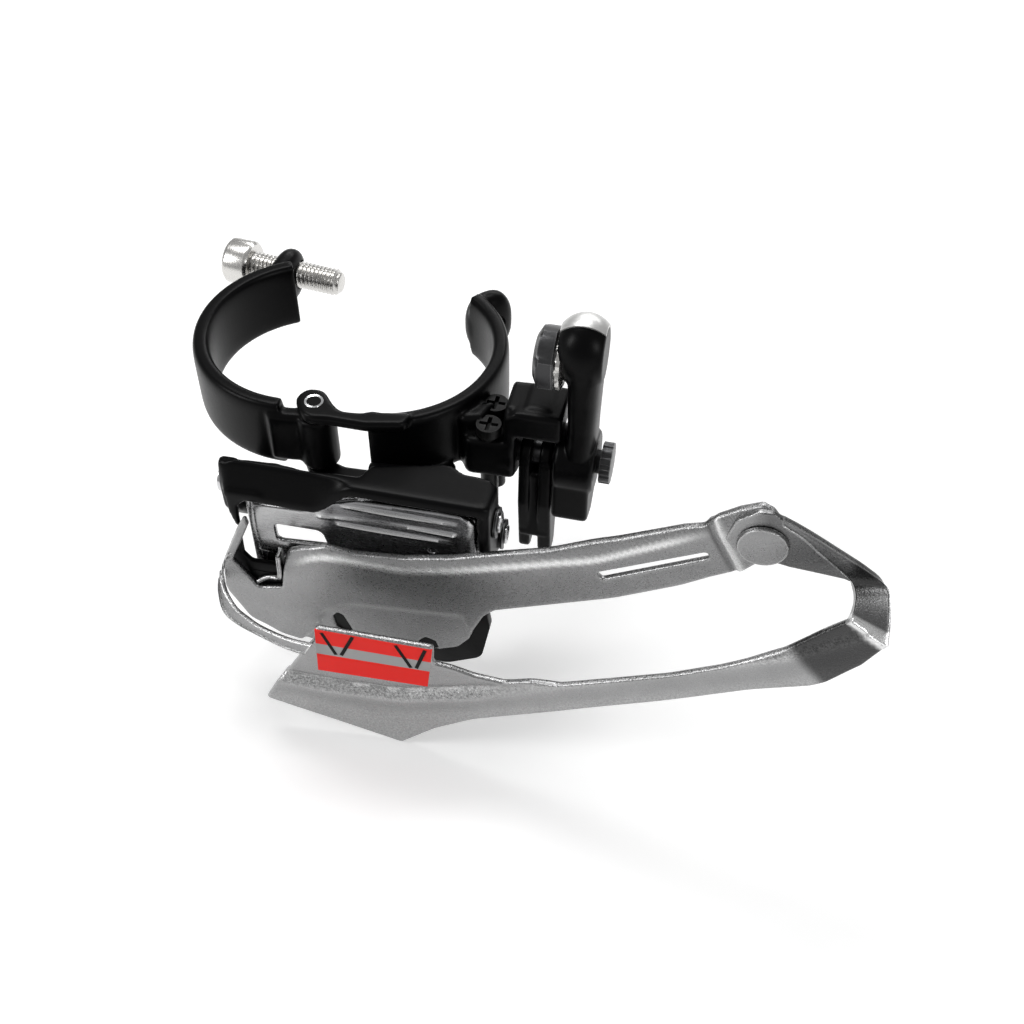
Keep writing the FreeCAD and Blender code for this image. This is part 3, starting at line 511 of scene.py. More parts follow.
def finish_of(name, base, wear_and_highlight, rough, metallic, grain=0.4, depth=0.1, stretch=1.0,
              clouds=12.0, vary=0.08, rough_vary=0.1, wear=0.5, wear_width=0.3, specular=0.5,
              reads_wear_and_painted_light=False):
    """Material: base colour moved up and down by the clouds, the wear-and-highlight colour along
    the edges, roughness moved by the grain, normal from the grain's bump.  A finish that reads
    wear and painted light also takes that colour where the piece's marks give a speckled rub,
    partly wear and partly painted highlight, and a painted highlight, and its colour is
    darkened where a mark gives painted shade."""
    if name in bpy.data.materials:
        return bpy.data.materials[name]
    made = bpy.data.materials.new(name)
    made.use_nodes = True
    tree = made.node_tree
    link = tree.links.new
    shader = next(n for n in tree.nodes if n.type == "BSDF_PRINCIPLED")
    shader.inputs["Metallic"].default_value = metallic
    shader.inputs["Specular IOR Level"].default_value = specular
    grains = tree.nodes.new("ShaderNodeGroup")
    grains.node_tree = bpy.data.node_groups["Grain"]
    for label, value in (("Size", grain), ("Stretch", stretch), ("Clouds", clouds),
                         ("Depth", depth)):
        grains.inputs[label].default_value = value
    edges = tree.nodes.new("ShaderNodeGroup")
    edges.node_tree = bpy.data.node_groups["Edge wear"]
    edges.inputs["Width"].default_value = wear_width
    edges.inputs["Amount"].default_value = wear
    tone = maths(tree, "ADD", maths(tree, "MULTIPLY", grains.outputs["Cloudy"], 2 * vary), 1 - vary)
    fleck = maths(tree, "ADD", maths(tree, "MULTIPLY", grains.outputs["Fine"], 2 * vary), 1 - vary)
    both = maths(tree, "MULTIPLY", tone, fleck)
    lit = node(tree, "ShaderNodeVectorMath", operation="SCALE")
    lit.inputs[0].default_value = base
    link(both, lit.inputs["Scale"])
    mix = node(tree, "ShaderNodeMix", data_type="RGBA")
    link(edges.outputs[0], mix.inputs["Factor"])
    link(lit.outputs[0], mix.inputs["A"])
    mix.inputs["B"].default_value = (*wear_and_highlight, 1.0)
    link(mix.outputs["Result"], shader.inputs["Base Color"])
    if reads_wear_and_painted_light:
        # speckled rub, partly wear and partly painted highlight, read from an attribute of the
        # piece
        scuff_highlight_mask = node(tree, "ShaderNodeAttribute", attribute_name="scuff_and_highlight").outputs["Fac"]
        place = node(tree, "ShaderNodeTexCoord").outputs["Object"]
        specks = node(tree, "ShaderNodeTexNoise", Scale=2600.0, Detail=3.0, Roughness=0.7)
        link(place, specks.inputs["Vector"])
        speck = maths(tree, "MULTIPLY", maths(tree, "SUBTRACT", specks.outputs[0], 0.36), 3.4, True)
        mask = maths(tree, "MAXIMUM", edges.outputs[0], maths(tree, "MULTIPLY", speck, scuff_highlight_mask))
        # painted highlight, read from an attribute of the piece
        painted_highlight = node(tree, "ShaderNodeAttribute", attribute_name="painted_highlight").outputs["Fac"]
        mask = maths(tree, "MAXIMUM", mask, painted_highlight, True)
        link(mask, mix.inputs["Factor"])
        # painted shade: the colour darkened by the piece's shade attribute
        shade = node(tree, "ShaderNodeAttribute", attribute_name="shade").outputs["Fac"]
        painted_shade_colour = node(tree, "ShaderNodeVectorMath", operation="SCALE")
        link(mix.outputs["Result"], painted_shade_colour.inputs[0])
        link(maths(tree, "SUBTRACT", 1.0, shade, True), painted_shade_colour.inputs["Scale"])
        link(painted_shade_colour.outputs[0], shader.inputs["Base Color"])
    change = maths(tree, "MULTIPLY", maths(tree, "SUBTRACT", grains.outputs["Fine"], 0.5),
                   2 * rough_vary)
    link(maths(tree, "ADD", change, rough, clamp=True), shader.inputs["Roughness"])
    link(grains.outputs["Normal"], shader.inputs["Normal"])
    return made


def finishes(looks):
    """All the finishes, by name."""
    steel = tuple(looks.steel)
    paint = tuple(looks.paint)
    return {
        "paint": finish_of("Black satin paint", paint, (0.05, 0.05, 0.052), 0.33, 0.0, grain=0.5,
                           depth=0.1, vary=0.15, rough_vary=0.05, wear=0.08, specular=0.09),
        # the cage and link finishes also take painted highlight and painted shade from their
        # pieces' marks, besides speckled wear
        "cage": finish_of("Nickel-plated sheet", steel, (0.85, 0.85, 0.85), 0.3, 1.0, grain=0.3,
                          depth=0.8, clouds=6.0, vary=0.13, rough_vary=0.22, wear=0.9,
                          wear_width=0.5, reads_wear_and_painted_light=True),
        "link": finish_of("Bright pressed sheet", (0.2, 0.2, 0.205), (0.95, 0.95, 0.95), 0.26, 1.0,
                          grain=0.3, depth=0.2, stretch=6.0, vary=0.07, wear=0.6,
                          reads_wear_and_painted_light=True),
        "polished": finish_of("Polished steel", (0.62, 0.62, 0.63), (0.85, 0.85, 0.85), 0.2, 1.0,
                              grain=0.4, depth=0.06, vary=0.04, wear=0.4),
        "zinc": finish_of("Zinc-plated steel", (0.62, 0.61, 0.59), (0.8, 0.8, 0.8), 0.27, 1.0,
                          grain=0.35, depth=0.15, vary=0.08, wear=0.5),
        "dark": finish_of("Blackened steel", (0.06, 0.06, 0.062), (0.35, 0.35, 0.35), 0.35, 0.9,
                          grain=0.4, depth=0.2, vary=0.1, wear=0.6),
        "black": finish_of("Black oxide screw", (0.006, 0.006, 0.006), (0.05, 0.05, 0.05),
                           0.4, 0.3, grain=0.4, depth=0.15, vary=0.1, wear=0.3,
                           specular=0.15),
        "alloy": finish_of("Bare cast alloy", (0.68, 0.68, 0.67), (0.8, 0.8, 0.8), 0.42, 0.9,
                           grain=0.5, depth=0.3, vary=0.06, wear=0.3),
        "plastic": finish_of("Black moulded plastic", (0.014, 0.014, 0.015), (0.04, 0.04, 0.04),
                             0.5, 0.0, grain=0.6, depth=0.3, vary=0.1, wear=0.2),
        "bush": finish_of("Grey bush plastic", (0.16, 0.16, 0.165), (0.25, 0.25, 0.25), 0.45, 0.0,
                          grain=0.5, depth=0.1, vary=0.06, wear=0.2),
        "red": finish_of("Red film", tuple(looks.film), (0.8, 0.05, 0.03), 0.45, 0.0, grain=0.5,
                         depth=0.05, vary=0.05, wear=0.1, specular=0.2),
        "grey": finish_of("Grey film", (0.34, 0.34, 0.34), (0.4, 0.4, 0.4), 0.4, 0.3, grain=0.4,
                          depth=0.05, vary=0.05, wear=0.1),
        "ink": finish_of("Black ink", (0.004, 0.004, 0.004), (0.01, 0.01, 0.01), 0.5, 0.0,
                         grain=0.5, depth=0.05, vary=0.05, wear=0.0, specular=0.1),
        "chrome": finish_of("Plated rivet", (0.75, 0.76, 0.77), (0.9, 0.9, 0.9), 0.16, 1.0,
                            grain=0.4, depth=0.04, vary=0.04, wear=0.3),
    }


# --- cage -----------------------------------------------------------------------------
def smooth_table(x, xs, zs, low, high, count):
    """Table read at x after a running mean of nine of its count even samples."""
    fine = np.linspace(low, high, count)
    base = np.pad(np.interp(fine, xs, zs), 4, mode="edge")
    return np.interp(x, fine, np.convolve(base, np.ones(9) / 9, mode="valid"))


def bend_height(x):
    """Height of the bend along which the inner plate's top rolls back."""
    xs = [-30, -12, -10, -5.3, -1.1, 4.9, 10.9, 19, 37, 42.4, 59.1, 70, 76]
    zs = [-24, -19.5, -17.5, -13.7, -12.6, -12.8, -13, -10.9, -4.0, -2.1, 8.4, 15, 18.6]
    return smooth_table(x, xs, zs, -30, 76, 213)


def joggle_offset(x, z):
    """Distance along X from the slanting line where the inner plate steps forward."""
    return x + (z - 5.0) * 0.55


def inner_front(x, z):
    """Front face of the inner plate: flat up to the bend, then leaning back; bulged at the
    nose; stepped forward at the tail's joggle; a shallow step round the lobe."""
    lean = 0.42 * soft_ramp(z - bend_height(x) - 0.3, 0.35) * ease((x + 13.0) / 3.0)
    nose = 0.03 * np.maximum(0.0, -13.5 - x) ** 2
    joggle = 1.0 * ease((joggle_offset(x, z) - 62.5) / 1.6 + 0.5)
    border = np.interp(x, [-30, -5.8, -4.3, 1.1, 20.6, 23.5, 80],
                       [-60, -32.0, -26.8, -23.4, -21.2, -30.0, -60])
    lobe = 0.8 * ease((border - z) / 1.3) * ease((24.0 - x) / 3.0)
    swell = 0.12 * np.exp(-((x - 4.0) / 10.0) ** 2 - ((z + 18.0) / 3.0) ** 2)
    return INNER_FACE + np.minimum(lean, 2.2) - nose * 0.6 - joggle + lobe - swell


INNER_OUTLINE = [
    (-15.5, -5.7, 0.4), (-15.1, -7.8, 0.4), (-18.9, -16.8, 1.2), (-15.4, -23.5, 0.8),
    (-11.0, -22.4, 0.8), (-9.8, -14.9, 1.2), (-9.0, -13.7, 0.8), (-6.9, -12.4, 1.5),
    (-2.5, -10.7, 2.0), (2.8, -11.0, 6.0), (10.8, -10.4, 10.0), (18.9, -8.3, 20.0),
    (26.2, -5.5, 30.0), (34.7, -2.4, 40.0), (45.1, 2.6, 40.0), (55.2, 8.2, 4.0),
    (58.2, 9.5, 1.5), (59.6, 12.0, 2.5), (62.8, 14.3, 2.5), (65.9, 16.0, 1.2),
    (67.6, 15.7, 1.0), (70.9, 13.2, 1.0), (71.4, 5.6, 1.2), (68.6, 6.6, 1.0), (67.1, 5.6, 1.0),
    (63.5, 1.2, 4.0), (60.1, -1.0, 6.0), (56.0, -4.0, 20.0), (45.8, -9.9, 40.0),
    (34.8, -14.7, 40.0), (26.3, -18.4, 3.0), (24.4, -20.5, 3.0), (22.6, -24.7, 6.0),
    (21.6, -28.3, 3.0), (19.6, -31.1, 3.0), (16.2, -32.7, 3.0), (6.0, -35.4, 8.0),
    (-7.1, -36.6, 4.0), (-12.8, -35.4, 4.0), (-17.9, -31.9, 4.0), (-20.7, -24.8, 2.0),
    (-21.0, -23.0, 3.0), (-20.4, -16.8, 6.0), (-17.1, -8.8, 1.5)]
INNER_SLOT = [(43.0, -5.2, 0.6), (42.9, -4.4, 0.4), (59.0, 4.4, 0.5), (59.6, 3.6, 0.4),
              (59.2, 2.9, 0.4), (43.7, -5.9, 0.5)]
INNER_NOTCHES = [
    [(-2.8, -28.9, 0.5), (-1.8, -27.6, 0.5), (-0.9, -28.1, 0.4), (0.5, -31.8, 0.4),
     (-0.7, -33.0, 0.5), (-2.4, -31.8, 0.5)],
    [(12.5, -31.5, 0.5), (13.8, -30.0, 0.6), (15.5, -30.6, 0.5), (16.1, -32.6, 0.4),
     (14.7, -33.2, 0.3), (12.9, -32.8, 0.5)]]


def cage_inner():
    """Pressed inner plate, whose front face is inner_front over its outline, and the bent
    tab in the nose's pocket, a strip carried along a curve through six points."""
    holes = [rounded(INNER_SLOT, 0.25)] + [rounded(n, 0.25) for n in INNER_NOTCHES]
    plate = pressed(rounded(INNER_OUTLINE, 0.45), holes, inner_front,
                    looks().inner_sheet / MM, 0.32, 0.62)
    tab_path = along([(-15.2, -32.6, -22.6), (-13.6, -32.2, -21.6), (-11.6, -32.4, -21.0),
                      (-10.7, -33.0, -19.5), (-10.4, -33.2, -16.0), (-10.3, -33.2, -14.0)], 30)
    tab = band(tab_path, np.tile([0.0, 1.0, 0.25], (30, 1)), 1.1, 0.8, 0.25)
    return join(plate, tab)


def inner_painted_highlight(x, y, z):
    """Painted highlight on the inner plate: along its top bend and past the joggle."""
    bend = np.maximum(np.abs(z - bend_height(x) - 0.25) - 0.25, 0)
    made = 0.95 * (y < -33.0) * np.exp(-(bend / 0.35) ** 2)
    made = made * ease((x + 9.0) / 5.0) * ease((60.0 - x) / 8.0)
    return made + 0.8 * (y < -33.5) * np.exp(-((joggle_offset(x, z) - 63.3) / 0.7) ** 2)


def inner_painted_shade(x, y, z):
    """Painted shade on the inner plate: in the hollow before the joggle."""
    return 0.6 * np.exp(-((joggle_offset(x, z) - 61.4) / 0.5) ** 2) * (y < -33.0)


def pocket_shell():
    """Black shell behind the nose's pocket, which makes the opening dark: an outline pushed along
    Y.
    """
    outline = [(-19.9, -16.5, 1.0), (-17.0, -8.6, 0.6), (-16.5, -9.6, 0.5), (-17.5, -12.2, 1.0),
               (-17.6, -16.8, 0.8), (-16.4, -18.4, 0.8), (-10.6, -18.2, 0.6), (-9.8, -15.4, 0.5),
               (-9.2, -15.6, 0.5), (-9.0, -24.6, 0.8), (-20.4, -24.6, 1.5)]
    return prism(rounded(outline, 0.6), -32.7, -31.7, plane_xz, 0.2)


def ridge_height(x):
    """Height of the ridge along the outer plate."""
    xs = [-13, -11, -7.5, 1.4, 13.7, 25, 37.5, 59.5, 73.4, 86]
    zs = [-30.6, -30.4, -29.9, -30, -28.7, -24.6, -19.3, -7.9, -0.8, 8]
    return smooth_table(x, xs, zs, -13, 90, 207)


def facet_depth(x, z):
    """Distance into the tail's facet, square to the line where it starts."""
    return (x - 73.3) * 0.745 + (z + 1.0) * 0.667


def fold_distance(x, z):
    """Distance past the tail's fold line, square to it."""
    return (x - 80.7) * 0.58 + (z - 8.8) * 0.81


def outer_front(x, z):
    """Front face of the outer plate: a step back above the ridge that fades along the arm,
    a rolled edge along the arm's top, and the turn-in at the tail."""
    ridge = ridge_height(x)
    step = 1.05 * ease((z - ridge + 1.7) / 1.9) * (1 - ease((x - 24.0) / 14.0))
    groove = 0.4 * np.exp(-((z - ridge - 0.5) / 0.4) ** 2) * (1 - ease((x - 30.0) / 12.0))
    crown = 0.45 * ease((ridge - 2.0 - z) / 3.2) * (1 - ease((x - 40.0) / 20.0))
    turn = 0.55 * ease(facet_depth(x, z) / 9.0)
    arm = 0.5 * ease((z - ridge - 0.2) / 1.3) * ease((x - 26.0) / 12.0)
    return OUTER_FACE + 0.05 + step + groove + crown + turn + arm


OUTER_OUTLINE = [
    (-11.3, -37.3, 0.6), (-8.6, -31.6, 3.0), (-6.4, -28.6, 6.0), (-3.6, -23.4, 4.0),
    (-1.1, -19.2, 1.5), (-0.5, -15.9, 0.6), (19.2, -15.4, 0.6), (19.0, -19.6, 0.8),
    (21.8, -19.9, 2.0), (25.6, -20.9, 4.0), (30.8, -20.8, 4.0), (35.0, -18.9, 4.0),
    (40.0, -17.7, 6.0), (47.8, -14.2, 20.0), (56.3, -10.3, 20.0), (63.8, -5.9, 20.0),
    (72.2, 0.1, 6.0), (76.4, 4.5, 3.0), (80.5, 8.7, 0.5), (85.9, 5.0, 0.5),
    (83.4, 0.0, 3.0), (79.1, -4.8, 4.0), (77.0, -6.3, 4.0),
    (68.7, -9.8, 20.0), (55.7, -16.9, 40.0), (40.2, -25.1, 40.0), (25.6, -32.1, 20.0),
    (18.9, -36.9, 10.0), (12.6, -43.1, 0.9), (0.4, -40.1, 20.0), (-5.6, -38.7, 10.0)]


def nose_strip():
    """Strip bent round the nose from the inner plate to the outer one: a surface between
    two edge curves, given a thickness along its normal."""
    low = along([(-18.6, -34.3, -13.0), (-20.5, -34.5, -17.8), (-21.0, -35.3, -21.4),
                 (-20.9, -36.9, -23.2), (-19.2, -39.5, -24.6),
                 (-15.7, -41.5, -24.5), (-11.6, -43.5, -23.4), (-6.8, -45.4, -22.6),
                 (-2.4, -46.3, -22.2)], 60)
    high = along([(-18.3, -34.3, -11.8), (-19.9, -34.4, -16.4), (-20.6, -34.9, -19.6),
                 (-19.5, -36.9, -21.8), (-16.9, -39.5, -22.4),
                  (-13.9, -41.5, -21.9), (-10.9, -43.2, -21.3), (-5.6, -45.2, -20.3),
                  (-0.9, -46.3, -19.2)], 60)
    mid = (low + high) / 2
    wide = high - low
    half = np.linalg.norm(wide, axis=1) / 2
    return band(mid, wide, np.maximum(half, 0.6), 0.9, 0.28)


def tail_wall():
    """Flap round the tail rivet, and the strip that folds back from the outer plate's end
    and runs up the flap's outer side: a sheet between two edge curves."""
    flap = [(61.4, 9.4, 0.6), (62.5, 13.4, 1.5), (65.4, 15.9, 1.0), (67.6, 16.1, 1.0),
            (73.2, 12.4, 2.0), (78.0, 9.6, 1.5), (81.4, 6.6, 1.5), (80.6, 4.5, 1.0),
            (79.3, 5.0, 1.0), (75.7, 5.3, 3.0), (71.3, 5.6, 1.0), (69.1, 6.0, 1.0),
            (67.6, 6.3, 1.0), (64.4, 5.2, 1.5)]
    face = prism(rounded(flap, 0.5), -35.2, -34.15, plane_xz, 0.25)
    low = along([(69.2, -35.5, 14.4), (72.4, -35.5, 12.4), (75.5, -35.55, 9.6),
                 (78.7, -35.6, 6.9), (80.6, -36.3, 6.0), (81.2, -39.0, 6.4),
                 (81.0, -42.5, 7.4), (80.6, -44.9, 8.5), (80.6, -46.0, 8.7)], 90)
    top = along([(69.0, -35.5, 15.3), (73.6, -35.5, 12.9), (77.4, -35.55, 10.6),
                 (82.2, -35.6, 7.7), (85.1, -36.4, 6.2), (85.7, -39.0, 5.9),
                 (85.95, -42.5, 5.5), (85.95, -44.9, 5.1), (85.95, -46.0, 5.0)], 90)
    wide = top - low
    half = np.linalg.norm(wide, axis=1) / 2
    return join(face, band((low + top) / 2, wide, half, -1.0, -0.28))


def tail_painted_shade(x, y, z):
    """Painted shade on the tail: most on the facet below its fold, less on the strip and flap."""
    facet = 0.8 * ease(facet_depth(x, z) / 2.2) * (y < -45.2)
    facet = facet * ease((-0.9 - fold_distance(x, z)) / 0.6)
    back = 0.42 * (y > -43.6) * (x > 66.0) + 0.2 * (y > -36.2) * (x > 68.0) * (z < 9.0)
    return facet + back


def tail_fold_highlight(x, y, z):
    """Painted highlight along the tail's fold: near the fold line and just behind it."""
    near = ease((fold_distance(x, z) + 1.3) / 0.7) * (x > 79.0)
    return near * ease((-43.4 - y) / 0.9)


def cage_outer():
    """Pressed outer plate, whose front face is outer_front over its outline, with its nose
    strip and tail wall."""
    plate = pressed(rounded(OUTER_OUTLINE, 0.45), [], outer_front,
                    looks().outer_sheet / MM, 0.34, 0.62)
    return join(plate, nose_strip(), tail_wall())


LINK_RIBS = (((-0.6, -3.6), (19.9, -4.0)), ((-4.8, -6.7), (19.5, -6.3)),
             ((-1.7, -8.4), (18.9, -8.1)))


def rib_mask(x, z, width):
    """1 on the link's three ribs, falling off as exp(-(d / width)^2) to either side."""
    made = np.zeros(np.shape(x))
    for (x0, z0), (x1, z1) in LINK_RIBS:
        line = z0 + (z1 - z0) * (x - x0) / (x1 - x0)
        here = ease((x - x0) / 1.0) * ease((x1 - x) / 0.6)
        made = np.maximum(made, np.exp(-((z - line) / width) ** 2) * here)
    return made


def link_front(x, z):
    """Front face of the outer link: flat, with three ribs, a rolled left edge and a raised
    right border."""
    left = np.exp(-((x + 16.4) / 0.9) ** 2)
    right = np.exp(-((x - 21.3) / 0.8) ** 2)
    panel = 0.25 * ease((x + 3.0) / 2.0) * ease((20.4 - x) / 0.8)
    return (-30.05 - 0.45 * rib_mask(x, z, 0.2) + 0.55 * left * ease(-(x + 15.6))
            - 0.3 * right + panel)


def link_channel():
    """Outer link: a sheet whose front face is link_front over a slotted outline, and two
    side flanges, each an outline pushed along X."""
    outline = [(-16.85, -8.4, 1.2), (-15.6, -6.9, 1.0), (-6.6, -6.4, 1.0), (-1.6, -3.6, 2.0),
               (2.7, -2.1, 2.0), (16.5, -1.5, 4.0), (21.2, -1.7, 1.2), (22.4, -2.8, 1.0),
               (22.4, -18.8, 1.0), (-16.0, -18.4, 1.4), (-16.9, -16.4, 1.0)]
    slot = [(-12.3, -10.8, 0.9), (-4.0, -10.7, 1.4), (-3.2, -14.2, 0.9), (-12.2, -15.0, 0.9)]
    hole = [(14.0, -10.6, 0.6), (15.4, -10.4, 0.6), (15.5, -11.5, 0.6), (14.1, -11.6, 0.6)]
    face = pressed(rounded(outline, 0.5), [rounded(slot, 0.35), rounded(hole, 0.25)],
                   link_front, 1.1, 0.3, 0.5)
    side = rounded([(-30.0, -2.4, 1.6), (-30.0, -24.0, 2.2), (-27.4, -25.2, 2.0),
                    (-24.4, -23.8, 2.4), (-24.3, -17.0, 2.0), (-26.4, -13.0, 4.0),
                    (-24.3, -8.0, 2.0), (-24.4, -3.2, 2.4), (-27.4, -1.8, 2.4)], 0.6)
    return join(face, prism(side, -16.8, -15.5, plane_yz, 0.25),
                prism(side, 21.1, 22.4, plane_yz, 0.25))


def link_highlight_and_tone(x, y, z):
    """Painted highlight on the link's ribs and right border, and a lighter left part."""
    return (rib_mask(x, z, 0.17) * (y < -29.6) * 1.2 + 0.3 * ease((-2.6 - x) / 1.5)
            + 0.5 * np.exp(-((x - 21.6) / 0.4) ** 2))


def outer_scuff_and_highlight(x, y, z):
    """Speckled rub on the outer plate, partly wear and partly painted highlight: a band along the
    ridge and along the arm, lighter towards the lower edge.
    """
    d = z - ridge_height(x)
    band_here = np.exp(-((d + 0.35) / 0.85) ** 2) * (1 - ease((x - 22.0) / 16.0))
    arm = 0.55 * ease((x - 30.0) / 12.0) * np.exp(-((d - 0.6) / 1.2) ** 2)
    low = 0.25 * ease((-d - 3.0) / 4.0)
    return (band_here * 0.95 + arm + low) * (y < -44.0)


def film_part(v0, v1, lift=0.0):
    """Closed strip of the film between two heights, as fractions of it: a grid that follows
    the plate's front face, raised by the film's lift, and its copy inside the sheet."""
    u = np.linspace(0.0, 1.0, 60)
    v = np.linspace(v0, v1, 12)
    x = (-0.5 - 0.5 * v)[None] * (1 - u[:, None]) + (19.1 - 1.2 * v)[None] * u[:, None]
    z = (-16.1 - 10.9 * v)[None] * (1 - u[:, None]) + (-15.8 - 10.1 * v)[None] * u[:, None]
    y = outer_front(x, z)
    near = np.stack([x, y - looks().film_lift / MM - lift, z], -1)
    far = np.stack([x, y + 0.2, z], -1)
    return grid(np.concatenate([near, far[:, ::-1]], axis=1))


def ink_line(start, end):
    """Thin printed line on the film: the straight line between two (x, z) points, laid on
    the plate's front face as a strip."""
    a, b = np.array(start, float), np.array(end, float)
    t = np.linspace(0, 1, 14)[:, None]
    p = a * (1 - t) + b * t
    y = outer_front(p[:, 0], p[:, 1])
    path = np.stack([p[:, 0], y - 0.13, p[:, 1]], 1)
    side = np.array([b[1] - a[1], 0.0, a[0] - b[0]])
    return band(path, np.tile(side, (14, 1)), 0.3, 0.06, 0.02)


# --- castings -------------------------------------------------------------------------
def bulge(x, power):
    """Signed power: x keeps its sign while its size goes to the given power."""
    return np.sign(x) * np.abs(x) ** power


def loft(sections, n=40, power=2.6):
    """Closed form through sections (height, a0, a1, b centre, b half depth): each ring is
    the superellipse |a|^p + |b|^p = 1 between those limits, blended along the height."""
    s = np.asarray(sections, float)
    t = np.linspace(0, len(s) - 1, 8 * (len(s) - 1) + 1)
    i = np.minimum(t.astype(int), len(s) - 2)
    u = ease(t - i) * 0.5 + (t - i) * 0.5
    v = s[i] * (1 - u)[:, None] + s[i + 1] * u[:, None]
    w = np.linspace(0, 2 * np.pi, n, endpoint=False)
    c, d = bulge(np.cos(w), 2 / power), bulge(np.sin(w), 2 / power)
    a = (v[:, 1] + v[:, 2])[:, None] / 2 + (v[:, 2] - v[:, 1])[:, None] / 2 * c[None]
    b = v[:, 3][:, None] + v[:, 4][:, None] * d[None]
    h = np.broadcast_to(v[:, :1], a.shape)
    return grid(np.stack([a, b, h], -1))


def ring_band(a0, a1, r0, r1, half, n=90):
    """Arc of the clamp band: a superellipse with powers 0.5 across and 0.28 along, turned
    round the Z axis from a0 to a1 degrees."""
    w = np.linspace(0, 2 * np.pi, 44, endpoint=False)
    r = (r0 + r1) / 2 + (r1 - r0) / 2 * bulge(np.cos(w), 0.5)
    z = half * bulge(np.sin(w), 0.28)
    angle = np.radians(np.linspace(a0, a1, n))[:, None]
    return grid(np.stack([r * np.cos(angle), r * np.sin(angle), z + 0 * angle], -1))


def frame_roof():
    """Roof of the link frame: five-cornered sections across Y and Z, lower and further
    forward on the left, carried along X with a smooth change between."""
    x = np.concatenate([np.linspace(-19.7, -6.0, 24), np.linspace(-5.6, 3.0, 24),
                        np.linspace(3.4, 25.0, 30)])
    left = np.array([(-28.2, 2.1), (-29.4, 2.2), (-31.8, -3.4), (-31.9, -4.6), (-31.05, -4.4),
                     (-28.9, -0.4), (-28.2, 0.2)])
    right = np.array([(-24.6, 2.2), (-29.8, 2.4), (-31.2, 2.3), (-31.7, 0.6), (-30.95, 0.4),
                      (-28.9, 0.3), (-24.6, 0.2)])
    u = ease((x + 4.6) / 7.4)[:, None, None]
    s = left[None] * (1 - u) + right[None] * u
    back = np.interp(x, [-20.7, -16, -11, -6, -3, 3, 4, 15, 16.5, 19, 25],
                     [-28.8, -28.4, -28.0, -28.6, -28.4, -28.2, -25.6, -22.6, -22.4, -23.8,
                      -24.4])
    s[:, 0, 0] = back
    s[:, -1, 0] = back
    s[:, 1, 0] = np.minimum(s[:, 1, 0], back - 0.8)
    s[:, 5, 0] = np.minimum(s[:, 5, 0], back - 0.8)
    ends = np.minimum(ease((x + 19.9) / 1.6), ease((25.2 - x) / 1.6))[:, None]
    middle = s.mean(1, keepdims=True)
    s = middle + (s - middle) * (0.72 + 0.28 * ends)[..., None]
    return grid(np.concatenate([np.broadcast_to(x[:, None, None], s.shape[:2] + (1,)), s], -1))


def frame_ears():
    """The two ears that carry the fixed pivots: outlines in Y and Z pushed along X."""
    left = rounded([(-30.6, -3.0, 1.2), (-30.4, -8.4, 2.0), (-27.4, -12.6, 2.0),
                    (-23.0, -15.3, 2.6), (-19.5, -13.2, 2.4), (-20.0, -9.6, 2.0),
                    (-25.6, -2.2, 2.0), (-28.2, 1.9, 0.8), (-29.6, 1.6, 1.0)], 0.6)
    right = rounded([(-31.3, 1.9, 1.0), (-30.9, -8.4, 2.4), (-27.4, -12.4, 2.0),
                     (-23.0, -15.3, 2.6), (-19.5, -13.2, 2.4), (-20.4, -8.6, 2.0),
                     (-24.0, -3.0, 2.0), (-24.6, 1.9, 0.8)], 0.6)
    return join(prism(left, -20.75, -17.25, plane_yz, 0.8),
                prism(right, 22.85, 24.95, plane_yz, 0.6))


def frame_wing():
    """Front left corner of the frame, down in front of the left ear: an outline pushed
    along Y."""
    outline = [(-19.6, -2.6, 1.2), (-19.2, -7.8, 1.5), (-18.4, -10.9, 0.6), (-17.6, -11.0, 0.4),
               (-17.4, -6.0, 0.8), (-16.0, -4.5, 0.8), (-12.0, -4.3, 1.0), (-13.0, -2.4, 1.0)]
    return prism(rounded(outline, 0.5), -31.9, -30.95, plane_xz, 0.4)


def hinge_ears():
    """Plates above and below the strap's barrel, with the upper one's stepped back edge:
    outlines in X and Y pushed along Z."""
    plan = [(-10.9, -17.8, 3.0), (-8.0, -22.1, 3.2), (-3.6, -21.5, 3.0), (2.0, -21.6, 3.0),
            (8.4, -20.2, 1.0), (9.2, -17.2, 0.8), (4.0, -18.0, 1.0), (2.6, -18.0, 0.8),
            (0.8, -18.9, 1.0), (-2.6, -19.2, 3.0), (-4.4, -17.6, 2.0), (-6.6, -14.9, 2.4),
            (-9.4, -15.2, 2.0)]
    low = [(-10.8, -17.8, 3.0), (-8.0, -22.0, 3.2), (2.0, -21.4, 2.0), (6.0, -20.0, 1.0),
           (6.0, -18.0, 0.8), (-3.0, -18.6, 2.0), (-8.6, -16.6, 2.0)]
    return join(prism(rounded(plan, 0.5), 5.3, 7.3, plane_xy, 0.5),
                prism(rounded(low, 0.5), -8.1, -6.1, plane_xy, 0.5))


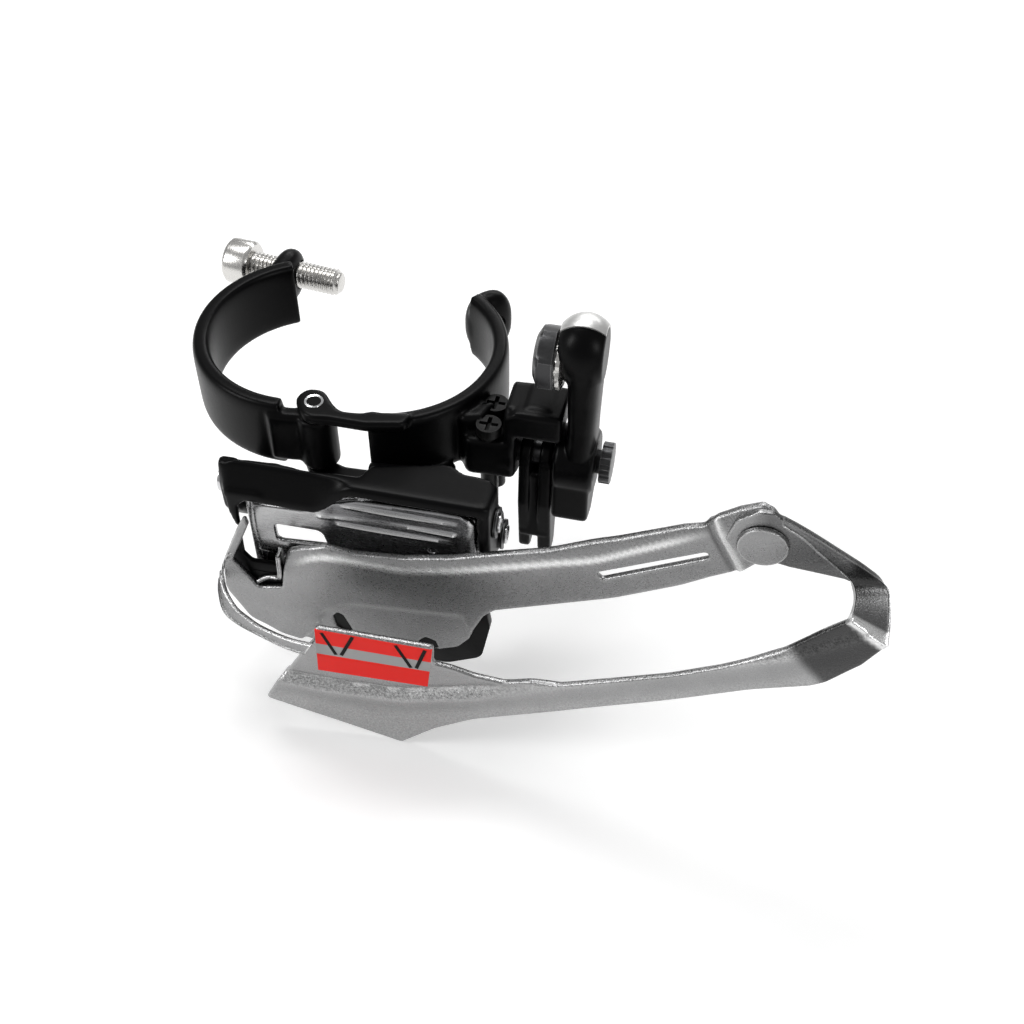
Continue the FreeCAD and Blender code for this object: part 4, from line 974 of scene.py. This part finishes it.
def arm_boss():
    """Block beside the jaw that carries the cable arm and the limit screws: pushed outlines
    and a turned cheek."""
    root = prism(rounded([(15.4, -12.6, 1.0), (17.2, -15.6, 1.5), (21.4, -15.4, 1.2),
                          (25.3, -15.2, 0.8), (25.3, -6.8, 0.8), (19.4, -5.6, 1.0),
                          (17.6, -7.0, 1.0)], 0.6), -6.6, 1.3, plane_xy, 0.9)
    cheek = lathe([(0.0, 0.0), (3.8, 0.0), (4.4, 0.5), (4.4, 2.4), (3.9, 2.85), (0.0, 2.85)],
                  (22.5, *ARM_PIVOT), (1, 0, 0))
    post = prism(rounded([(-15.0, -1.0, 1.0), (-6.4, -1.0, 1.0), (-6.4, 8.2, 1.0),
                          (-13.4, 8.2, 1.2), (-15.0, 6.6, 1.2)], 0.6), 23.4, 25.4, plane_yz, 0.5)
    box = prism(rounded([(24.0, 2.9, 0.6), (32.95, 3.0, 0.5), (32.95, 8.3, 0.6),
                         (25.2, 8.2, 0.9), (24.0, 7.0, 0.8)], 0.5), -15.1, -6.5, plane_xz, 0.5)
    step = prism(rounded([(26.4, 8.0, 0.4), (31.2, 8.0, 0.4), (30.8, 8.55, 0.3),
                          (26.9, 8.55, 0.3)], 0.5), -13.2, -7.2, plane_xz, 0.2)
    return join(root, cheek, post, box, step)


def knob(out_at, side_at, half_out, half_side, half_up, up_at=0.0):
    """Rounded tongue of the clamp: |a|^p + |b|^p + |c|^p = 1 with p = 2.5, its first axis
    42 degrees round from X and its place given along that axis and across it."""
    u, v = np.meshgrid(np.linspace(0, np.pi, 26)[1:-1],
                       np.linspace(0, 2 * np.pi, 36, endpoint=False), indexing="ij")
    p = 2 / 2.5
    a = bulge(np.sin(u), p) * bulge(np.cos(v), p) * half_out + out_at
    b = bulge(np.sin(u), p) * bulge(np.sin(v), p) * half_side + side_at
    c = bulge(np.cos(u), p) * half_up + up_at
    out = np.array([np.cos(LUG_TURN), np.sin(LUG_TURN)])
    side = np.array([-out[1], out[0]])
    return grid(np.stack([a * out[0] + b * side[0], a * out[1] + b * side[1], c], -1))


def strap_casting():
    """Hinged half: band, barrel, the root between them and the lug, made closed and then
    turned open about the hinge pin."""
    barrel = lathe([(0.0, 0.0), (2.9, 0.0), (3.3, 0.4), (3.3, 10.3), (2.9, 10.7), (0.0, 10.7)],
                   (HINGE[0], HINGE[1], -5.75), (0, 0, 1))
    parts = join(ring_band(77, 231, *BORE, 6.6), barrel,
                 ring_band(226, 246, 18.1, 21.2, 5.2, n=20), knob(18.4, 14.3, 6.0, 2.4, 5.0))
    verts, faces = parts
    c, d = np.cos(radians(STRAP_TURN)), np.sin(radians(STRAP_TURN))
    rel = verts[:, :2] - HINGE
    turned = np.stack([rel[:, 0] * c - rel[:, 1] * d, rel[:, 0] * d + rel[:, 1] * c], 1) + HINGE
    return np.hstack([turned, verts[:, 2:]]), faces


def clamp_casting():
    """Jaw, hinge ears, link frame and arm boss as overlapping solids, to be fused."""
    web = prism(rounded([(3.4, -25.0, 0.5), (15.0, -24.2, 0.5), (15.4, -14.0, 0.5),
                         (12.0, -17.0, 0.5), (3.4, -18.4, 0.5)], 0.6), -8.2, -4.9, plane_xy, 0.8)
    wall = prism(rounded([(3.4, -25.4, 0.4), (15.0, -24.4, 0.4), (15.0, -22.7, 0.4),
                          (3.4, -23.9, 0.4)], 0.6), -7.4, 1.6, plane_xy, 0.4)
    rib = prism(rounded([(15.0, -14.5, 0.6), (19.6, -13.0, 0.6), (21.0, -8.0, 0.6),
                         (17.4, -9.6, 0.4), (17.2, -11.6, 0.4)], 0.6), -6.3, 4.6, plane_xy, 1.0)
    return join(ring_band(-84, 54, *BORE, 6.6), knob(21.3, 4.0, 4.4, 2.7, 6.2, -0.4),
                hinge_ears(), frame_roof(), frame_ears(), frame_wing(), arm_boss(), web, wall,
                rib)


def lug_bore():
    """Straight hole for the clamp bolt, along the line it takes when the strap is closed."""
    c, d = np.cos(LUG_TURN), np.sin(LUG_TURN)
    return lathe([(0, -7.0), (2.9, -7.0), (2.9, 11.0), (0, 11.0)],
                 (BOLT_OUT * c, BOLT_OUT * d, 0.0), (-d, c, 0))


def arm_casting():
    """Cable arm: a long loft from the hub up to the round head, with hub, foot and sleeve."""
    bar = loft([(-9.0, 33.6, 37.4, -11, 3.6), (-6.0, 33.4, 38.3, -11, 4.6),
                (0.0, 33.5, 38.3, -11, 4.7), (6.0, 33.6, 38.4, -11, 4.4),
                (12.0, 33.4, 38.6, -11, 4.5), (17.0, 33.3, 38.8, -11, 4.9),
                (20.5, 33.4, 38.7, -11, 4.8), (22.0, 34.0, 38.0, -11, 3.6)], power=3.0)
    turn = np.linspace(0, 2 * np.pi, 60)[:-1]
    head = grid(head_surface(np.linspace(31.7, 38.95, 36), turn, -0.3))
    hub = lathe([(0.0, 0.0), (5.0, 0.0), (5.6, 0.6), (5.6, 6.2), (5.0, 6.8), (0.0, 6.8)],
                (31.75, *ARM_PIVOT), (1, 0, 0))
    foot = prism(rounded([(-16.0, 0.4, 1.0), (-7.0, -2.0, 1.0), (-7.0, -11.6, 2.5),
                          (-11.4, -14.8, 2.0), (-16.0, -13.6, 1.6)], 0.5),
                 31.8, 38.0, plane_yz, 0.7)
    sleeve = lathe([(0.0, 0.0), (3.0, 0.0), (3.4, 0.4), (3.4, 2.4), (0.0, 2.4)],
                   (32.6, -11.0, 17.9), (1, 0, 0))
    return join(bar, head, hub, foot, sleeve)


def head_surface(x, t, proud=0.0):
    """Round head of the arm: at each x a slightly flattened circle in Y and Z whose radius
    is 6.6 sqrt(1 - ((x - 35.6) / 5.2)^2) plus proud; t is the turn from the top."""
    x, t = np.meshgrid(x, t, indexing="ij")
    r = 6.6 * np.sqrt(1 - np.minimum(((x - 35.6) / 5.2) ** 2, 0.93)) + proud
    return np.stack([x, -11 + 0.8 * r * np.sin(t), 20.0 + r * np.cos(t)], -1)


def arm_pad():
    """Bare pad over the arm's head: the head's own surface a little proud of the paint,
    from just in front of the top to the back, 0.9 thick."""
    x = np.linspace(31.75, 38.9, 36)
    t = np.radians(np.linspace(-18, 105, 50))
    near, far = head_surface(x, t, 0.02), head_surface(x, t, -0.9)
    return grid(np.concatenate([near, far[:, ::-1]], axis=1))


def fork_casting():
    """Two hanging legs, outlines in Y and Z pushed along X, on turned hubs and joined by a
    tie."""
    parts = []
    for x0, x1, low in ((25.85, 27.8, -24.6), (29.2, 31.55, -25.2)):
        leg = rounded([(-14.4, -2.6, 1.0), (-15.2, -12.0, 2.0), (-14.0, low, 1.7),
                       (-10.4, low + 0.3, 1.7), (-7.8, -13.0, 3.0), (-7.8, -2.6, 1.0)], 0.4)
        parts.append(prism(leg, x0, x1, plane_yz, 0.45, 4))
        parts.append(lathe([(0.0, 0.0), (2.7, 0.0), (3.2, 0.4), (3.2, 1.7), (2.7, 2.1),
                            (0.0, 2.1)],
                           (x0, *ARM_PIVOT), (1, 0, 0)))
    tie = prism(rounded([(-14.2, -5.4, 0.8), (-14.6, -20.6, 0.8), (-9.6, -21.0, 0.8),
                         (-8.4, -5.4, 0.8)], 0.5), 26.0, 31.2, plane_yz, 0.4)
    return join(tie, *parts)


def screw_thread(radius, depth, pitch, low, high, rows=12):
    """Thread: radius falls by depth in a triangle wave of height and turning angle."""
    h = np.linspace(low, high, int((high - low) / pitch * rows))
    r = np.full(len(h), radius)
    r = np.where(high - h < 1.0, radius - 0.7 * (1 - (high - h)), r)

    def shape(angle, height):
        wave = np.abs(((height / pitch - angle / (2 * np.pi)) % 1.0) * 2 - 1)
        return 1 - depth / radius * np.clip(wave * 1.35 - 0.12, 0, 1)
    return np.stack([r, h], 1), shape


def cap_screw():
    """Socket-head cap screw: a turned head whose socket's radius follows cos 30 / cos(angle
    from the nearest flat's middle), and the thread below."""
    head = [(0.0, 2.9), (1.9, 2.9), (2.05, 0.25), (2.3, 0.0), (3.75, 0.0), (4.2, 0.45),
            (4.25, 0.7), (4.25, 4.3), (4.2, 4.55), (3.8, 5.0), (2.3, 5.0), (2.2, 5.3), (0.0, 5.3)]

    def socket(angle, height):
        six = np.cos(np.pi / 6) / np.cos((angle % (np.pi / 3)) - np.pi / 6)
        rows = np.arange(len(height))[:, None]
        return np.where((rows >= 1) & (rows <= 3), six * 1.08, 1.0)
    low, high = 5.1, 22.85
    profile, wave = screw_thread(2.5, looks().thread_depth / MM, 0.8, low, high)
    profile = np.vstack([[(0.0, low)], profile, [(0.0, high)]])
    return join(lathe(head, BOLT_END, BOLT_AXIS, 72, socket),
                lathe(profile, BOLT_END, BOLT_AXIS, 48, wave))


def tail_stud():
    """Tail rivet: two flat heads with rounded rims on a shank, inside the CAD rivet's box."""
    p = points_of(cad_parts["tail_rivet"].data)
    low, high = p.min(0), p.max(0)
    deep = high[1] - low[1]
    return lathe([(0.0, 0.0), (3.3, 0.0), (3.65, 0.12), (3.8, 0.4), (3.8, 0.75), (2.0, 0.8),
                  (2.0, deep - 0.8), (4.2, deep - 0.75), (4.2, deep - 0.2), (3.9, deep),
                  (0.0, deep)],
                 ((low[0] + high[0]) / 2, low[1], (low[2] + high[2]) / 2), (0, 1, 0), 72)


def hinge_rivet():
    """Semi-tubular rivet: flared rim round a deep well, shank and foot."""
    return lathe([(0.0, 15.2), (0.85, 15.2), (0.95, 15.5), (1.2, 16.0), (1.55, 16.05),
                  (1.8, 15.75), (1.85, 15.4), (1.85, 0.6), (2.5, 0.6), (2.6, 0.3), (2.3, 0.0),
                  (0.0, 0.0)], (*HINGE, -8.7), (0, 0, 1), 56)


def clamp_head():
    """Cable bolt: turned head whose radius is 0.42 plus 0.6 of a hexagon's, and a shank."""
    profile = [(0.0, 0.0), (3.6, 0.0), (4.9, 0.7), (5.2, 1.1), (5.2, 3.2), (4.9, 3.5),
               (2.4, 3.5), (2.4, 8.0), (0.0, 8.0)]

    def six(angle, height):
        flat = np.cos(np.pi / 6) / np.cos(((angle + 0.26) % (np.pi / 3)) - np.pi / 6)
        rows = np.arange(len(height))[:, None]
        return np.where((rows >= 3) & (rows <= 5), 0.6 * flat + 0.42, 1.0)
    return lathe(profile, (28.0, -11.0, 17.9), (1, 0, 0), 72, six)


def clamp_washer():
    """Turned washer whose radius dips by up to 7 % in a triangle wave of 15 teeth."""
    profile = [(2.6, 0.0), (4.6, 0.0), (5.0, 0.3), (5.0, 0.9), (4.4, 1.25), (3.6, 1.35),
               (2.6, 1.35)]

    def teeth(angle, height):
        wave = np.abs(((angle * 15 / np.pi) % 2.0) - 1.0)
        return 1 - 0.07 * wave * (height > 0.2)
    p, faces = lathe(profile, (31.5, -11.0, 17.9), (1, 0, 0), 120, teeth)
    return p, faces[:-2] + bridge_rows(len(profile), 120)


def bridge_rows(rows, n):
    """Quads that join a lathe's last row to its first, which makes a closed ring."""
    k = np.arange(n)
    last = (rows - 1) * n
    quads = np.stack([last + k, last + (k + 1) % n, (k + 1) % n, k], 1)
    return [tuple(q) for q in quads.tolist()]


# --- operators ------------------------------------------------------------------------
def looks():
    """The colours and sizes on the panel."""
    return bpy.context.scene.derailleur_looks


class DERAILLEUR_OT_cage(bpy.types.Operator):
    """Inner and outer plates of the chain cage"""
    bl_idname = "derailleur.cage"
    bl_label = "Cage plates"

    def execute(self, context):
        steel = finishes(looks())["cage"]
        inner = piece("cage_inner", cage_inner(), "cage", steel,
                      ("cage_inner_plate",), sharp=50)
        outer = piece("cage_outer", cage_outer(), "cage", steel,
                      ("cage_outer_plate",), sharp=50)
        # painted highlight along the inner plate's bend and joggle and painted shade before the
        # joggle; on the outer plate a speckled rub that is partly wear and partly painted
        # highlight, painted shade on the tail and a painted highlight along its fold
        mark(inner, "painted_highlight", inner_painted_highlight)
        mark(inner, "shade", inner_painted_shade)
        mark(outer, "scuff_and_highlight", outer_scuff_and_highlight)
        mark(outer, "shade", tail_painted_shade)
        mark(outer, "painted_highlight", tail_fold_highlight)
        return {"FINISHED"}


class DERAILLEUR_OT_sticker(bpy.types.Operator):
    """Alignment film with its bands and guide lines"""
    bl_idname = "derailleur.sticker"
    bl_label = "Alignment film"

    def execute(self, context):
        kinds = finishes(looks())
        red = join(film_part(0.0, 0.33), film_part(0.58, 1.0))
        piece("film_red", red, "cage", kinds["red"], ("alignment_sticker",))
        piece("film_grey", film_part(0.33, 0.58, -0.01), "cage", kinds["grey"])
        lines = join(ink_line((0.6, -16.6), (2.6, -21.8)), ink_line((5.9, -16.2), (3.5, -21.7)),
                     ink_line((13.0, -16.3), (15.3, -21.5)), ink_line((17.9, -16.2), (16.2, -21.4)))
        piece("film_lines", lines, "cage", kinds["ink"])
        return {"FINISHED"}


class DERAILLEUR_OT_clamp(bpy.types.Operator):
    """Clamp body with its frame, and the hinged strap"""
    bl_idname = "derailleur.clamp"
    bl_label = "Clamp"

    def execute(self, context):
        paint = finishes(looks())["paint"]
        piece("clamp_casting", clamp_casting(), "clamp_body", paint,
              ("clamp_body",), melt=0.36, soften=5, bore=lug_bore())
        hole = lathe([(0, 6.0), (2.7, 6.0), (2.7, 30.0), (0, 30.0)], BOLT_END, BOLT_AXIS)
        piece("strap_casting", strap_casting(), "strap", paint,
              ("clamp_strap",), melt=0.34, soften=5, bore=hole)
        return {"FINISHED"}


class DERAILLEUR_OT_links(bpy.types.Operator):
    """Outer and inner link"""
    bl_idname = "derailleur.links"
    bl_label = "Links"

    def execute(self, context):
        kinds = finishes(looks())
        link = piece("link_channel", link_channel(), "outer_link_body",
                     kinds["link"], ("outer_link",), sharp=50)
        # painted highlight on the link's ribs and right border, and a lighter left part
        mark(link, "painted_highlight", link_highlight_and_tone)
        piece("pocket_shell", pocket_shell(), "cage", kinds["paint"])
        eased("link_inside", "inner_link", "inner_link_body", kinds["paint"], 0.3)
        eased("bracket_sheet", "cage_bracket", "cage", kinds["paint"], 0.3)
        eased("wear_pad", "skid_pad", "cage", kinds["plastic"], 0.3)
        return {"FINISHED"}


class DERAILLEUR_OT_arm(bpy.types.Operator):
    """Cable arm, its cap, the stop fork and the cable clamp"""
    bl_idname = "derailleur.arm"
    bl_label = "Cable arm"

    def execute(self, context):
        kinds = finishes(looks())
        piece("arm_casting", arm_casting(), "arm", kinds["paint"],
              ("cable_arm",), melt=0.26, soften=5)
        piece("arm_pad", arm_pad(), "arm", kinds["alloy"], ("arm_cap",))
        piece("fork_casting", fork_casting(), "arm", kinds["paint"],
              ("stop_fork",), melt=0.2, soften=4)
        piece("clamp_disc", clamp_washer(), "cable_clamp", kinds["zinc"],
              ("cable_washer",), sharp=25)
        piece("clamp_head", clamp_head(), "cable_clamp", kinds["dark"],
              ("cable_bolt",), sharp=25)
        return {"FINISHED"}


EASED_FASTENERS = (
    ("arm_pin", "arm_pivot_pin", "clamp_body", "black_paint", "dark", 0.12),
    ("frame_studs", "frame_pins", "clamp_body", "polished_steel", "polished", 0.2),
    ("cage_studs", "cage_pins", "cage", "polished_steel", "polished", 0.2),
    ("bracket_studs", "bracket_rivets", "cage", "polished_steel", "polished", 0.2),
    ("low_screw_head", "low_limit_screw", "low_screw", "zinc_steel", "black", 0.1),
    ("high_screw_head", "high_limit_screw", "high_screw", "zinc_steel", "black", 0.1),
    ("spring_coil", "return_spring", "clamp_body", "zinc_steel", "zinc", 0.02))


class DERAILLEUR_OT_fasteners(bpy.types.Operator):
    """Pins, rivets, screws, clips and the spring"""
    bl_idname = "derailleur.fasteners"
    bl_label = "Pins and screws"

    def execute(self, context):
        kinds = finishes(looks())
        piece("hinge_rivet", hinge_rivet(), "clamp_body", kinds["chrome"],
              ("hinge_pin",), sharp=50)
        piece("cap_screw", cap_screw(), "bolt", kinds["zinc"], ("clamp_bolt",),
              sharp=45)
        piece("tail_stud", tail_stud(), "cage", kinds["cage"], ("tail_rivet",))
        for name, node_name, body, slot, kind, soft in EASED_FASTENERS:
            eased(name, node_name, body, kinds[kind], soft)
        finish_node("pin_clips", kinds["dark"])
        finish_node("link_bushes", kinds["bush"])
        return {"FINISHED"}


class DERAILLEUR_OT_stage(bpy.types.Operator):
    """Floor, lamps and camera"""
    bl_idname = "derailleur.stage"
    bl_label = "Stage"

    def execute(self, context):
        scene = context.scene
        stage_floor()
        lamps()
        world_light(scene)
        camera(scene)
        scene.view_settings.view_transform = "Standard"
        return {"FINISHED"}


def stage_floor():
    """Flat white floor under the cage: shows as white to the eye and to mirrors, and keeps
    the object's shadow.  Its glow for the eye grows from 0.28 m off the middle outwards."""
    size, low = 3.0, CAD_BOX[0].z - 0.5 * MM
    corners = np.array([(-size, -size, low), (size, -size, low), (size, size, low),
                        (-size, size, low)])
    mesh = bpy.data.meshes.new("floor")
    mesh.from_pydata(corners.tolist(), [], [(0, 1, 2, 3)])
    floor = bpy.data.objects.new("floor", mesh)
    bpy.context.scene.collection.objects.link(floor)
    made = bpy.data.materials.new("Pale floor")
    made.use_nodes = True
    tree = made.node_tree
    shader = next(n for n in tree.nodes if n.type == "BSDF_PRINCIPLED")
    shader.inputs["Base Color"].default_value = (0.9, 0.9, 0.9, 1)
    shader.inputs["Roughness"].default_value = 0.9
    shader.inputs["Specular IOR Level"].default_value = 0.1
    white = node(tree, "ShaderNodeEmission", Strength=0.32)
    add = tree.nodes.new("ShaderNodeAddShader")
    out = next(n for n in tree.nodes if n.type == "OUTPUT_MATERIAL")
    path = tree.nodes.new("ShaderNodeLightPath")
    seen = maths(tree, "MAXIMUM", path.outputs["Is Camera Ray"], path.outputs["Is Glossy Ray"])
    seen = maths(tree, "MAXIMUM", seen, path.outputs["Is Transmission Ray"])
    place = tree.nodes.new("ShaderNodeTexCoord").outputs["Object"]
    away = node(tree, "ShaderNodeVectorMath", operation="LENGTH")
    tree.links.new(place, away.inputs[0])
    far = maths(tree, "MULTIPLY", maths(tree, "SUBTRACT", away.outputs["Value"], 0.28), 1.6, True)
    far = maths(tree, "MULTIPLY", far, maths(tree, "MULTIPLY", path.outputs["Is Camera Ray"], 0.6))
    near = maths(tree, "MULTIPLY", seen, 0.32)
    tree.links.new(maths(tree, "ADD", near, far), white.inputs["Strength"])
    tree.links.new(shader.outputs[0], add.inputs[0])
    tree.links.new(white.outputs[0], add.inputs[1])
    tree.links.new(add.outputs[0], out.inputs["Surface"])
    floor.data.materials.append(made)


def lamp(name, place, target, size, power):
    """Soft rectangular lamp that faces a point, both in millimetres."""
    data = bpy.data.lights.new(name, "AREA")
    data.shape = "RECTANGLE"
    data.size, data.size_y = size[0] * MM, size[1] * MM
    data.energy = power
    obj = bpy.data.objects.new(name, data)
    start, end = Vector(place) * MM, Vector(target) * MM
    turn = (end - start).to_track_quat("-Z", "Y").to_matrix().to_4x4()
    obj.matrix_world = Matrix.Translation(start) @ turn
    obj.visible_camera = False
    bpy.context.scene.collection.objects.link(obj)


def lamps():
    """Large top light, a key from the left front, a weak fill and a strip from behind."""
    lamp("top", (-60, 150, 380), (20, -20, 0), (340, 110), 1.0)
    lamp("key", (-330, -210, 230), (10, -20, 0), (120, 200), 0.75)
    lamp("fill", (380, -260, 200), (30, -20, 0), (120, 160), 0.4)
    lamp("back", (40, 420, 220), (20, 0, 0), (400, 90), 0.6)


def world_light(scene):
    """Even dim studio all round, white to the eye and to mirrors."""
    world = bpy.data.worlds.new("Studio")
    scene.world = world
    world.use_nodes = True
    tree = world.node_tree
    back = next(n for n in tree.nodes if n.type == "BACKGROUND")
    path = tree.nodes.new("ShaderNodeLightPath")
    seen = maths(tree, "MULTIPLY", path.outputs["Is Camera Ray"], 0.78)
    mirrored = maths(tree, "MAXIMUM", path.outputs["Is Glossy Ray"],
                     path.outputs["Is Transmission Ray"])
    mirrored = maths(tree, "MULTIPLY", mirrored, 0.15)
    seen = maths(tree, "ADD", seen, mirrored)
    tree.links.new(maths(tree, "ADD", seen, 0.22), back.inputs["Strength"])
    back.inputs["Color"].default_value = (1, 1, 1, 1)


def camera(scene):
    """Camera 247 mm off, 47 degrees up, looking down onto the cage's outer side."""
    data = bpy.data.cameras.new("camera")
    data.lens = 49.2
    data.clip_start = 0.01
    obj = bpy.data.objects.new("camera", data)
    place = Vector((61.7, -174.8, 161.0)) * MM
    turn = Vector((-0.153, 0.665, -0.731)).to_track_quat("-Z", "Y").to_matrix().to_4x4()
    obj.matrix_world = Matrix.Translation(place) @ turn
    scene.collection.objects.link(obj)
    scene.camera = obj


class DerailleurLooks(bpy.types.PropertyGroup):
    """Colours and sizes that a user may change"""
    steel: bpy.props.FloatVectorProperty(
        name="Cage steel", description="Base colour of the plated cage sheet", subtype="COLOR",
        size=3, min=0.0, max=1.0, default=(0.3, 0.3, 0.302))
    paint: bpy.props.FloatVectorProperty(
        name="Clamp paint", description="Colour of the painted castings", subtype="COLOR",
        size=3, min=0.0, max=1.0, default=(0.0014, 0.0014, 0.0016))
    film: bpy.props.FloatVectorProperty(
        name="Film red", description="Colour of the alignment film's bands", subtype="COLOR",
        size=3, min=0.0, max=1.0, default=(0.95, 0.014, 0.008))
    inner_sheet: bpy.props.FloatProperty(
        name="Inner sheet", description="Thickness of the inner plate's sheet",
        subtype="DISTANCE", unit="LENGTH", min=0.0005, max=0.0014, default=0.00115)
    outer_sheet: bpy.props.FloatProperty(
        name="Outer sheet", description="Thickness of the outer plate's sheet",
        subtype="DISTANCE", unit="LENGTH", min=0.0005, max=0.0014, default=0.0011)
    film_lift: bpy.props.FloatProperty(
        name="Film lift", description="How proud the film stands of the outer plate",
        subtype="DISTANCE", unit="LENGTH", min=0.00002, max=0.00012, default=0.00007)
    thread_depth: bpy.props.FloatProperty(
        name="Thread depth", description="Depth of the clamp bolt's thread",
        subtype="DISTANCE", unit="LENGTH", min=0.0, max=0.0006, default=0.00042)


OPERATORS = (DERAILLEUR_OT_cage, DERAILLEUR_OT_sticker, DERAILLEUR_OT_clamp,
             DERAILLEUR_OT_links, DERAILLEUR_OT_arm, DERAILLEUR_OT_fasteners,
             DERAILLEUR_OT_stage)


class DERAILLEUR_PT_panel(bpy.types.Panel):
    """Front derailleur"""
    bl_label = "Front derailleur"
    bl_space_type = "VIEW_3D"
    bl_region_type = "UI"
    bl_category = "Derailleur"

    def draw(self, context):
        for name in DerailleurLooks.__annotations__:
            self.layout.prop(context.scene.derailleur_looks, name)
        for operator in OPERATORS:
            self.layout.operator(operator.bl_idname)


CLASSES = (DerailleurLooks,) + OPERATORS + (DERAILLEUR_PT_panel,)


def register():
    """Register the classes and attach the panel's values to the scene."""
    for cls in CLASSES:
        bpy.utils.register_class(cls)
    bpy.types.Scene.derailleur_looks = bpy.props.PointerProperty(type=DerailleurLooks)


def unregister():
    """Undo register."""
    del bpy.types.Scene.derailleur_looks
    for cls in reversed(CLASSES):
        bpy.utils.unregister_class(cls)


def main():
    """Register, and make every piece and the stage."""
    register()
    grain_group()
    wear_group()
    for operator in OPERATORS:
        family, name = operator.bl_idname.split(".")
        getattr(getattr(bpy.ops, family), name)()


if __name__ == "__main__":
    main()
